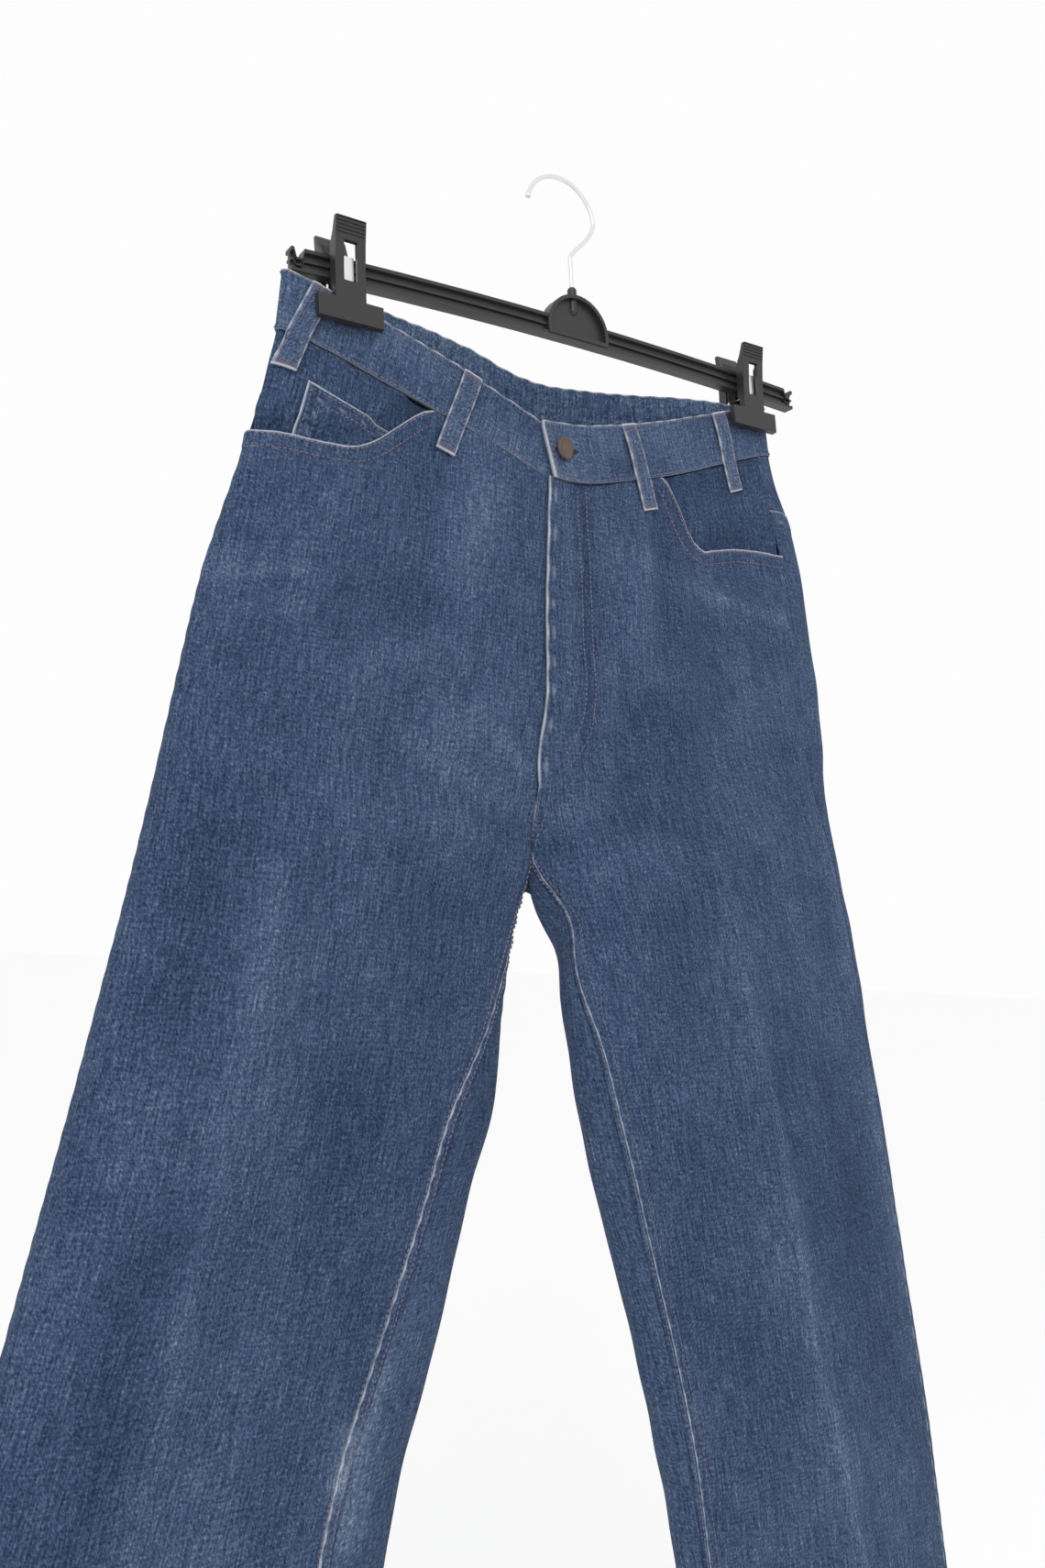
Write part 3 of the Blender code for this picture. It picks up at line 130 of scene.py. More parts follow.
# Waist seam and top edge of the band. Columns: x, y, z.
SEAM_FRONT = np.array([
    (-0.1885, 0.0000, -0.1700), (-0.1875, -0.0018, -0.1702), (-0.1840, -0.0034, -0.1707),
    (-0.1650, -0.0040, -0.1730), (-0.1300, -0.0046, -0.1805), (-0.0830, -0.0100, -0.1930),
    (-0.0400, -0.0135, -0.2050), (-0.0080, -0.0145, -0.2125), (0.0220, -0.0140, -0.2085),
    (0.0510, -0.0130, -0.1985), (0.0980, -0.0095, -0.1800), (0.1450, -0.0050, -0.1580),
    (0.1750, -0.0046, -0.1445), (0.1885, -0.0040, -0.1392), (0.1920, -0.0026, -0.1383),
    (0.1930, -0.0010, -0.1380),
])
SEAM_BACK = np.array([
    (-0.1885, 0.0000, -0.1700), (-0.1875, 0.0018, -0.1700), (-0.1840, 0.0034, -0.1700),
    (-0.1650, 0.0040, -0.1703), (-0.1300, 0.0038, -0.1700), (-0.1150, 0.0056, -0.1698),
    (-0.0600, 0.0160, -0.1690), (-0.0090, 0.0190, -0.1730), (0.0500, 0.0160, -0.1660),
    (0.1300, 0.0048, -0.1500), (0.1500, 0.0036, -0.1465), (0.1700, 0.0034, -0.1425),
    (0.1885, 0.0022, -0.1388), (0.1920, 0.0006, -0.1382), (0.1930, -0.0010, -0.1380),
])

# Top edge of the band over given points of the waist seam.
# Columns: x on the seam, then the top edge's x, y and z.
TOP_FRONT_RIGHT = np.array([
    (-0.1885, -0.1870, 0.0000, -0.1340), (-0.1875, -0.1858, -0.0016, -0.1342),
    (-0.1840, -0.1815, -0.0031, -0.1352), (-0.1650, -0.1605, -0.0036, -0.1390),
    (-0.1300, -0.1225, -0.0038, -0.1455), (-0.0830, -0.0735, -0.0080, -0.1590),
    (-0.0400, -0.0305, -0.0105, -0.1725), (-0.0080, 0.0015, -0.0112, -0.1792),
    (0.0240, 0.0310, -0.0108, -0.1765),
])
TOP_FRONT_LEFT = np.array([
    (-0.0065, -0.0165, -0.0112, -0.1765), (0.0220, 0.0125, -0.0110, -0.1715),
    (0.0510, 0.0400, -0.0100, -0.1625), (0.0980, 0.0860, -0.0070, -0.1445),
    (0.1450, 0.1340, -0.0040, -0.1235), (0.1750, 0.1660, -0.0036, -0.1095),
    (0.1885, 0.1812, -0.0031, -0.1032), (0.1920, 0.1852, -0.0016, -0.1022),
    (0.1930, 0.1864, 0.0000, -0.1018),
])
TOP_BACK = np.array([
    (-0.1885, -0.1870, 0.0000, -0.1340), (-0.1875, -0.1860, 0.0016, -0.1341),
    (-0.1840, -0.1825, 0.0031, -0.1345), (-0.1650, -0.1630, 0.0036, -0.1348),
    (-0.1300, -0.1280, 0.0036, -0.1342), (-0.1150, -0.1140, 0.0050, -0.1336),
    (-0.0600, -0.0600, 0.0150, -0.1300), (-0.0090, -0.0090, 0.0185, -0.1352),
    (0.0500, 0.0470, 0.0155, -0.1275), (0.1300, 0.1260, 0.0044, -0.1125),
    (0.1500, 0.1455, 0.0034, -0.1092), (0.1700, 0.1645, 0.0034, -0.1060),
    (0.1885, 0.1820, 0.0031, -0.1030), (0.1920, 0.1853, 0.0016, -0.1021),
    (0.1930, 0.1864, 0.0000, -0.1018),
])

# Rise seams between the two sides. Columns: row share, x, y, z.
RISE_FRONT = np.array([
    (0.00, -0.0080, -0.0145, -0.2125), (0.33, -0.0100, -0.0200, -0.2900), (0.60, -0.0070, -0.0205, -0.3530),
    (0.72, -0.0100, -0.0205, -0.3810), (0.87, -0.0110, -0.0165, -0.4150), (1.00, -0.0090, -0.0080, -0.4470),
])
RISE_BACK = np.array([
    (0.00, -0.0090, 0.0190, -0.1730), (0.30, -0.0090, 0.0300, -0.2600), (0.55, -0.0090, 0.0350, -0.3400),
    (0.75, -0.0090, 0.0320, -0.4130), (0.87, -0.0090, 0.0230, -0.4530), (0.94, -0.0090, 0.0090, -0.4700),
    (1.00, -0.0090, -0.0080, -0.4470),
])

# Pocket mouths, below the waist seam. Columns: distance from the
# middle in x, drop below the seam.
MOUTH_RIGHT = np.array([
    (0.080, 0.000), (0.086, 0.003), (0.103, 0.023), (0.114, 0.038), (0.122, 0.046),
    (0.142, 0.055), (0.169, 0.061), (0.182, 0.064), (0.200, 0.067),
])
MOUTH_LEFT = np.array([
    (0.092, 0.000), (0.096, 0.004), (0.103, 0.020), (0.108, 0.041), (0.115, 0.054),
    (0.128, 0.058), (0.142, 0.060), (0.164, 0.066), (0.186, 0.073), (0.210, 0.078),
])


def smooth_table(value, knots, column, key=0):
    """A cubic through a table's knots, level beyond both ends."""
    rows = knots[np.argsort(knots[:, key])]
    xs = rows[:, key]
    ys = rows[:, column]
    value = np.clip(np.asarray(value, dtype=float), xs[0], xs[-1])
    step = np.diff(xs)
    rise = np.diff(ys) / step
    slope = np.empty_like(ys)
    slope[0] = rise[0]
    slope[-1] = rise[-1]
    slope[1:-1] = (rise[:-1] * step[1:] + rise[1:] * step[:-1]) / (step[1:] + step[:-1])
    flat = rise[:-1] * rise[1:] <= 0.0
    slope[1:-1][flat] = 0.0
    i = np.clip(np.searchsorted(xs, value) - 1, 0, len(xs) - 2)
    t = (value - xs[i]) / step[i]
    h00 = 2 * t**3 - 3 * t**2 + 1
    h10 = t**3 - 2 * t**2 + t
    h01 = -2 * t**3 + 3 * t**2
    h11 = t**3 - t**2
    return h00 * ys[i] + h10 * step[i] * slope[i] + h01 * ys[i + 1] + h11 * step[i] * slope[i + 1]


def ease(t):
    t = np.clip(t, 0.0, 1.0)
    return t * t * (3.0 - 2.0 * t)


def bell(value, middle, width):
    return np.exp(-((value - middle) / width) ** 2)


def plateau(value, edge, soft):
    """1 up to an edge, falling off softly beyond it."""
    return np.exp(-(np.maximum(value - edge, 0.0) / soft) ** 2)


def leg_table(side):
    return LEG_RIGHT if side < 0 else LEG_LEFT


def folds(side, face, u, z):
    """Soft lengthwise folds of a leg, outward positive, nothing at its seams."""
    keep = np.sin(np.pi * np.clip(u, 0.0, 1.0)) ** 2
    low = ease((-0.30 - z) / 0.25)
    if face == "front" and side < 0:
        ridge = 0.0030 * bell(u, 0.60 + 0.10 * (z + 0.70), 0.16)
        trough = -0.0026 * bell(u, 0.30 - 0.08 * (z + 0.70), 0.13)
        hip = 0.0016 * bell(z, -0.285, 0.030) - 0.0014 * bell(z, -0.345, 0.028)
        return keep * (low * (ridge + trough) + hip * bell(u, 0.75, 0.30))
    if face == "front":
        ridge = 0.0032 * bell(u, 0.52 + 0.12 * (z + 0.70), 0.15)
        trough = -0.0030 * bell(u, 0.80 + 0.10 * (z + 0.70), 0.10)
        hip = 0.0016 * bell(z, -0.262, 0.026) - 0.0014 * bell(z, -0.320, 0.030)
        return keep * (low * (ridge + trough) + hip * bell(u, 0.75, 0.30))
    ridge = 0.0032 * bell(u, 0.46 + 0.08 * side * (z + 0.70), 0.14)
    trough = -0.0030 * bell(u, 0.74 - 0.05 * side * (z + 0.70), 0.11)
    seat = -0.0040 * bell(z, -0.470, 0.045) * bell(u, 0.35, 0.25)
    return keep * (low * (ridge + trough) + seat)


def ring(side, z_level, angle, centre=False):
    """A point of a leg's ring, or of the hips' ring, and its outward normal."""
    rows = leg_table(side)
    outer, inner, middle, front, back = [smooth_table(z_level, rows, k) for k in range(1, 6)]
    outer = side * outer
    inner = side * inner
    if centre:
        other = smooth_table(z_level, leg_table(-side), 3)
        half = outer - CENTRE_X
        x = CENTRE_X - half * np.cos(angle)
        share = np.abs(np.cos(angle))
        middle = middle * share + 0.5 * (middle + other) * (1.0 - share)
    else:
        half = 0.5 * (outer - inner)
        x = 0.5 * (outer + inner) - half * np.cos(angle)
    sine = np.sin(angle)
    size = np.abs(sine)
    depth = np.where(sine > 0.0, front, back)
    y = middle - depth * np.sign(sine) * size ** ROUND
    steep = ROUND * np.maximum(size, 0.02) ** (ROUND - 1.0)
    normal = np.stack([
        -depth * np.cos(angle) * steep * np.sign(half),
        -np.abs(half) * sine,
        0.0 * x,
    ], -1)
    normal /= np.linalg.norm(normal, axis=-1, keepdims=True)
    return x, y, normal


def seam_angle(side, z_level, which):
    return np.radians(smooth_table(z_level, leg_table(side), 6 if which == "in" else 7))


def side_seam_z(side):
    return SEAM_FRONT[0, 2] if side < 0 else SEAM_FRONT[-1, 2]


def surface(side, face, u, row):
    """The cloth's outside. u runs from the middle or inseam (0) to the outseam (1).
    row runs from the waist seam (0) by the crotch (1) to the hem (2)."""
    u = np.asarray(u, dtype=float)
    row = np.asarray(row, dtype=float)
    w = np.clip(row, 0.0, 1.0)
    below = np.clip(row - 1.0, 0.0, 1.0)
    side_z = side_seam_z(side) * (1.0 - w) + CROTCH_Z * w
    level = side_z + (HEM_Z - CROTCH_Z) * below
    inseam = seam_angle(side, level, "in")
    outseam = seam_angle(side, level, "out")
    if face == "front":
        hip_angle = 0.5 * np.pi + u * (0.5 * np.pi - outseam)
        leg_angle = inseam + u * (np.pi - outseam - inseam)
        seam = SEAM_FRONT
        rise = RISE_FRONT
        start = 0.80
    else:
        hip_angle = 1.5 * np.pi - u * (0.5 * np.pi + outseam)
        leg_angle = inseam - u * (np.pi + outseam + inseam)
        seam = SEAM_BACK
        rise = RISE_BACK
        start = 0.62
    hip_x, hip_y, _ = ring(side, level, hip_angle, True)
    leg_x, leg_y, _ = ring(side, level, leg_angle)
    ahead = np.sin(hip_angle) > 0.0
    edge_x = SEAM_FRONT[0, 0] if side < 0 else SEAM_FRONT[-1, 0]
    narrow = (edge_x - CENTRE_X) / (side * smooth_table(level, leg_table(side), 1) - CENTRE_X)
    at_x = CENTRE_X + (hip_x - CENTRE_X) * narrow
    waist_y, waist_z = [np.where(ahead, smooth_table(at_x, SEAM_FRONT, k), smooth_table(at_x, SEAM_BACK, k))
                        for k in (1, 2)]
    top_share = ease(w / 0.34)
    hip_y = waist_y * (1.0 - top_share) + hip_y * top_share
    hip_z = waist_z * (1.0 - w) + CROTCH_Z * w
    begin = start * (1.0 - u) + 0.70 * u
    leg_share = ease((w - begin) / (1.0 - begin))
    x = hip_x * (1.0 - leg_share) + leg_x * leg_share
    y = hip_y * (1.0 - leg_share) + leg_y * leg_share
    z = np.where(row <= 1.0, hip_z, level)

    # The rise seams are shared curves, so both sides are drawn to them.
    mid_angle = 0.5 * np.pi if face == "front" else 1.5 * np.pi
    edge_hip_x, edge_hip_y, _ = ring(side, level, mid_angle + 0.0 * level, True)
    edge_leg_x, edge_leg_y, _ = ring(side, level, inseam)
    edge_waist_y = smooth_table(edge_hip_x, seam, 1)
    edge_waist_z = smooth_table(edge_hip_x, seam, 2)
    edge_hip_y = edge_waist_y * (1.0 - top_share) + edge_hip_y * top_share
    edge_share = ease((w - start) / (1.0 - start))
    edge_x = edge_hip_x * (1.0 - edge_share) + edge_leg_x * edge_share
    edge_y = edge_hip_y * (1.0 - edge_share) + edge_leg_y * edge_share
    edge_z = edge_waist_z * (1.0 - w) + CROTCH_Z * w
    fade = 1.0 - ease(below / 0.06)
    above = np.where(row <= 1.0, 1.0, 0.0)
    pull_x, pull_y, pull_z = [(smooth_table(w, rise, k) - edge) * above
                              for k, edge in ((1, edge_x), (2, edge_y), (3, edge_z))]
    crotch_x, crotch_y, _ = ring(side, np.array(CROTCH_Z), seam_angle(side, CROTCH_Z, "in"))
    pull_x = pull_x + np.where(row > 1.0, (CENTRE_X - crotch_x) * fade, 0.0)
    pull_y = pull_y + np.where(row > 1.0, (-0.0080 - crotch_y) * fade, 0.0)
    slow = (1.0 - u) ** 2
    x = x + pull_x * slow
    if face == "front":
        y = y + pull_y * slow
        z = z + pull_z * slow
    else:
        # The seat hangs below the crotch point: a slow dip across the panel
        # and a quick lift back to the point where the four panels meet.
        turn = ease((w - 0.80) / 0.20)
        quick = np.clip(1.0 - u / 0.22, 0.0, 1.0) ** 2
        y = y + pull_y * (slow * (1.0 - turn) + quick * turn)
        dip = -0.050 * ease((w - 0.45) / 0.55) * (1.0 - ease(below / 0.24))
        z = z + dip * slow + (pull_z - dip) * np.where(w < 1.0, quick * turn + slow * (1.0 - turn), quick)
    point = np.stack(np.broadcast_arrays(x, y, z), -1)
    _, _, out = ring(side, level, leg_angle)
    _, _, out_hip = ring(side, level, hip_angle, True)
    out = out_hip * (1.0 - leg_share)[..., None] + out * leg_share[..., None]
    out /= np.linalg.norm(out, axis=-1, keepdims=True)
    return point + out * folds(side, face, u, z)[..., None]


def out_normal(side, face, u, row):
    """The cloth's outward normal anywhere on a side's surface."""
    d = 0.003
    u0 = np.clip(u - d, 0.0, 1.0)
    u1 = np.clip(u + d, 0.0, 1.0)
    r0 = np.clip(row - d, 0.0, 2.0)
    r1 = np.clip(row + d, 0.0, 2.0)
    n = np.cross(
        surface(side, face, u1, row) - surface(side, face, u0, row),
        surface(side, face, u, r1) - surface(side, face, u, r0))
    n *= -side if face == "front" else side
    return n / np.maximum(np.linalg.norm(n, axis=-1, keepdims=True), 1e-12)


def mouth_drop(side, x):
    rows = MOUTH_RIGHT if side < 0 else MOUTH_LEFT
    return np.where(np.abs(x - CENTRE_X) < rows[0, 0], 0.0, smooth_table(np.abs(x - CENTRE_X), rows, 1))


def row_of_drop(side, face, u, drop):
    """The row share that lies a given drop below the waist seam at u."""
    low = np.zeros_like(u)
    high = np.ones_like(u)
    top = surface(side, face, u, low)[..., 2]
    for _ in range(30):
        half = 0.5 * (low + high)
        z = surface(side, face, u, half)[..., 2]
        deep = z < top - drop
        high = np.where(deep, half, high)
        low = np.where(deep, low, half)
    return 0.5 * (low + high)


def locate(side, face, x, z):
    """u and row of the surface point with a given x and z."""
    x = np.asarray(x, dtype=float)
    z = np.asarray(z, dtype=float)
    wide = smooth_table(z, leg_table(side), 1) - side * CENTRE_X
    turn = np.radians(smooth_table(z, leg_table(side), 7))
    sweep = 0.5 * np.pi + (-turn if face == "front" else turn)
    u = np.clip(np.arcsin(np.clip((x - CENTRE_X) * side / wide, 0.0, 0.99)) / sweep, 0.01, 0.98)
    row = np.clip((z + 0.17) / (CROTCH_Z + 0.17), 0.02, 0.95)
    d = 1e-4
    for _ in range(40):
        p = surface(side, face, u, row)
        pu = (surface(side, face, u + d, row) - p) / d
        pr = (surface(side, face, u, row + d) - p) / d
        ex = x - p[..., 0]
        ez = z - p[..., 2]
        det = pu[..., 0] * pr[..., 2] - pr[..., 0] * pu[..., 2]
        du = (ex * pr[..., 2] - pr[..., 0] * ez) / det
        dr = (pu[..., 0] * ez - pu[..., 2] * ex) / det
        u = np.clip(u + np.clip(du, -0.08, 0.08), 0.0, 1.0)
        row = np.clip(row + np.clip(dr, -0.08, 0.08), 0.0, 1.9)
    return u, row


def band_base(half, seam_x, height):
    """The band's middle layer. half is fr, ba or fl; height runs 0 to 1."""
    top_table = {"fr": TOP_FRONT_RIGHT, "ba": TOP_BACK, "fl": TOP_FRONT_LEFT}[half]
    seam_table = SEAM_BACK if half == "ba" else SEAM_FRONT
    low = np.stack([
        seam_x + 0.0 * height,
        smooth_table(seam_x, seam_table, 1) + 0.0 * height,
        smooth_table(seam_x, seam_table, 2) + 0.0002 + 0.0 * height], -1)
    top = np.stack([smooth_table(seam_x, top_table, k) + 0.0 * height for k in (1, 2, 3)], -1)
    point = low * (1.0 - height)[..., None] + top * height[..., None]
    if half == "fr":
        point[..., 1] += 0.0019 * ease((seam_x + 0.045) / 0.030) + 0.0 * height
    if half == "fl":
        point[..., 1] -= 0.0015 * ease((0.060 - seam_x) / 0.030) + 0.0 * height
    return point


def band_frame(half, seam_x, height):
    """A point of the band's outside with its outward and lengthwise directions."""
    d = 0.001
    v = np.array([seam_x, seam_x - d, seam_x + d, seam_x, seam_x])
    h = np.array([height, height, height, height - 0.02, height + 0.02])
    p = band_base(half, v, h)
    along = p[2] - p[1]
    along /= np.linalg.norm(along)
    n = np.cross(along, p[4] - p[3])
    n /= np.linalg.norm(n)
    toward = 1.0 if half == "ba" else -1.0
    if n[1] * toward < 0.0:
        n = -n
    return p[0] + n * BAND_PROUD, n, along


# Denim. One node group works out the weave's colour and height from the
# cloth's own coordinates (metres across and along the warp), its fade with
# painted shade, and its white wear; each cloth has its own shader round it.
def link(tree, a, b):
    tree.links.new(a, b)


def math_node(tree, operation, a, b=0.0, clamp=False):
    node = tree.nodes.new("ShaderNodeMath")
    node.operation = operation
    node.use_clamp = clamp
    for socket, value in zip(node.inputs, (a, b)):
        if isinstance(value, (int, float)):
            socket.default_value = value
        else:
            tree.links.new(value, socket)
    return node.outputs[0]


def grain(tree, vector, scale, turn=0.0, detail=2.0):
    """A noise stretched by its scale across and along the warp, minus a half."""
    mapping = tree.nodes.new("ShaderNodeMapping")
    mapping.vector_type = "TEXTURE"
    mapping.inputs["Rotation"].default_value = (0.0, 0.0, turn)
    mapping.inputs["Scale"].default_value = (1.0 / scale[0], 1.0 / scale[1], 1.0)
    tree.links.new(vector, mapping.inputs["Vector"])
    noise = tree.nodes.new("ShaderNodeTexNoise")
    noise.inputs["Scale"].default_value = 1.0
    noise.inputs["Detail"].default_value = detail
    noise.inputs["Roughness"].default_value = 0.6
    tree.links.new(mapping.outputs["Vector"], noise.inputs["Vector"])
    return math_node(tree, "SUBTRACT", noise.outputs["Fac"], 0.5)


weave = bpy.data.node_groups.new("denim_weave", "ShaderNodeTree")
for name, way, kind in (("Cloth", "INPUT", "Vector"), ("Wear", "INPUT", "Float"), ("Fade", "INPUT", "Float"),
                        ("Colour", "OUTPUT", "Color"), ("Height", "OUTPUT", "Float")):
    weave.interface.new_socket(name, in_out=way, socket_type=f"NodeSocket{kind}")
entry = weave.nodes.new("NodeGroupInput")
leave = weave.nodes.new("NodeGroupOutput")
cloth_at = entry.outputs["Cloth"]
GRAINS = [
    # across per m, along per m, turn in degrees, detail, share of the colour
    (950.0, 62.0, 0.0, 2.0, 0.85),
    (380.0, 14.0, 0.0, 2.0, 0.26),
    (90.0, 800.0, 0.0, 1.0, 0.40),
    (1100.0, 430.0, -32.0, 2.0, 1.15),
    (620.0, 620.0, 0.0, 3.0, 0.75),
    (26.0, 6.0, 4.0, 3.0, 0.16),
    (8.0, 4.0, 0.0, 4.0, 0.30),
]
total = None
for across, along, turn, detail, share in GRAINS:
    layer = grain(weave, cloth_at, (across, along), math.radians(turn), detail)
    piece = math_node(weave, "MULTIPLY", layer, share)
    total = piece if total is None else math_node(weave, "ADD", total, piece)
shade = math_node(weave, "ADD", total, math_node(weave, "ADD", entry.outputs["Fade"], BASE_SHADE))
ramp = weave.nodes.new("ShaderNodeValToRGB")
stops = ramp.color_ramp.elements
stops[0].position = 0.0
stops[0].color = (0.010, 0.019, 0.044, 1.0)
stops[1].position = 1.0
stops[1].color = (0.235, 0.290, 0.370, 1.0)
for position, colour in ((0.26, (0.025, 0.044, 0.092)), (0.48, (0.051, 0.080, 0.148)),
                         (0.70, (0.098, 0.138, 0.216))):
    stops.new(position).color = (*colour, 1.0)
link(weave, shade, ramp.inputs["Fac"])
broken = math_node(weave, "ADD", grain(weave, cloth_at, (420.0, 300.0), 0.5, 3.0), 0.5)
white = math_node(weave, "MULTIPLY", entry.outputs["Wear"], math_node(weave, "ADD", broken, 0.55), True)
white = math_node(weave, "MULTIPLY", math_node(weave, "SUBTRACT", white, 0.16), 1.35, True)
blend = weave.nodes.new("ShaderNodeMix")
blend.data_type = "RGBA"
link(weave, white, blend.inputs["Factor"])
link(weave, ramp.outputs["Color"], blend.inputs[6])
blend.inputs[7].default_value = (0.52, 0.55, 0.60, 1.0)
link(weave, blend.outputs[2], leave.inputs["Colour"])
link(weave, math_node(weave, "ADD", total, math_node(weave, "MULTIPLY", broken, 0.4)), leave.inputs["Height"])


def attribute(tree, name, output):
    node = tree.nodes.new("ShaderNodeAttribute")
    node.attribute_name = name
    return node.outputs[output]


def denim_material(name, offset):
    m = bpy.data.materials.new(name)
    m.use_nodes = True
    tree = m.node_tree
    shader = tree.nodes["Principled BSDF"]
    shader.inputs["Roughness"].default_value = 0.88
    shader.inputs["Specular IOR Level"].default_value = 0.10
    shader.inputs["Sheen Weight"].default_value = 0.03
    shader.inputs["Sheen Roughness"].default_value = 0.55
    shader.inputs["Sheen Tint"].default_value = (0.60, 0.70, 0.90, 1.0)
    group = tree.nodes.new("ShaderNodeGroup")
    group.node_tree = weave
    link(tree, attribute(tree, "cloth", "Vector"), group.inputs["Cloth"])
    link(tree, attribute(tree, "wear", "Fac"), group.inputs["Wear"])
    # The fade attribute carries the cloth's fade together with painted shade.
    link(tree, math_node(tree, "ADD", attribute(tree, "fade", "Fac"), offset), group.inputs["Fade"])
    link(tree, group.outputs["Colour"], shader.inputs["Base Color"])
    raised = tree.nodes.new("ShaderNodeBump")
    raised.inputs["Strength"].default_value = 0.8
    raised.inputs["Distance"].default_value = WEAVE_DEPTH
    link(tree, group.outputs["Height"], raised.inputs["Height"])
    link(tree, raised.outputs["Normal"], shader.inputs["Normal"])
    return m


def plain_material(name, colour, rough, metal=0.0, speckle=0.0):
    m = bpy.data.materials.new(name)
    m.use_nodes = True
    tree = m.node_tree
    shader = tree.nodes["Principled BSDF"]
    shader.inputs["Base Color"].default_value = (*colour, 1.0)
    shader.inputs["Roughness"].default_value = rough
    shader.inputs["Metallic"].default_value = metal
    if speckle:
        place = tree.nodes.new("ShaderNodeTexCoord")
        noise = tree.nodes.new("ShaderNodeTexNoise")
        noise.inputs["Scale"].default_value = 900.0
        link(tree, place.outputs["Object"], noise.inputs["Vector"])
        raised = tree.nodes.new("ShaderNodeBump")
        raised.inputs["Strength"].default_value = speckle
        raised.inputs["Distance"].default_value = 0.0003
        link(tree, noise.outputs["Fac"], raised.inputs["Height"])
        link(tree, raised.outputs["Normal"], shader.inputs["Normal"])
    return m


denim = denim_material("denim_cloth", 0.0)
# A darker copy of the denim for the pieces under and behind the front panels: painted shade.
denim_painted_shade = denim_material("denim_under_painted_shade", -0.10)
denim_band = denim_material("denim_band_cloth", 0.03)
thread = plain_material("thread", (0.215, 0.165, 0.225), 0.75)
thread_pale = plain_material("thread_pale", (0.40, 0.39, 0.42), 0.75)
black = plain_material("black_moulded", (0.022, 0.021, 0.021), 0.42, 0.0, 0.25)
steel = plain_material("bright_steel", (0.80, 0.80, 0.80), 0.28, 1.0)
brown = plain_material("brown_metal", (0.13, 0.095, 0.075), 0.45, 0.7)
# Flat dark sheet: painted shade for the buttonhole's slot.
dark = plain_material("slot_painted_shade", (0.012, 0.016, 0.030), 0.9)
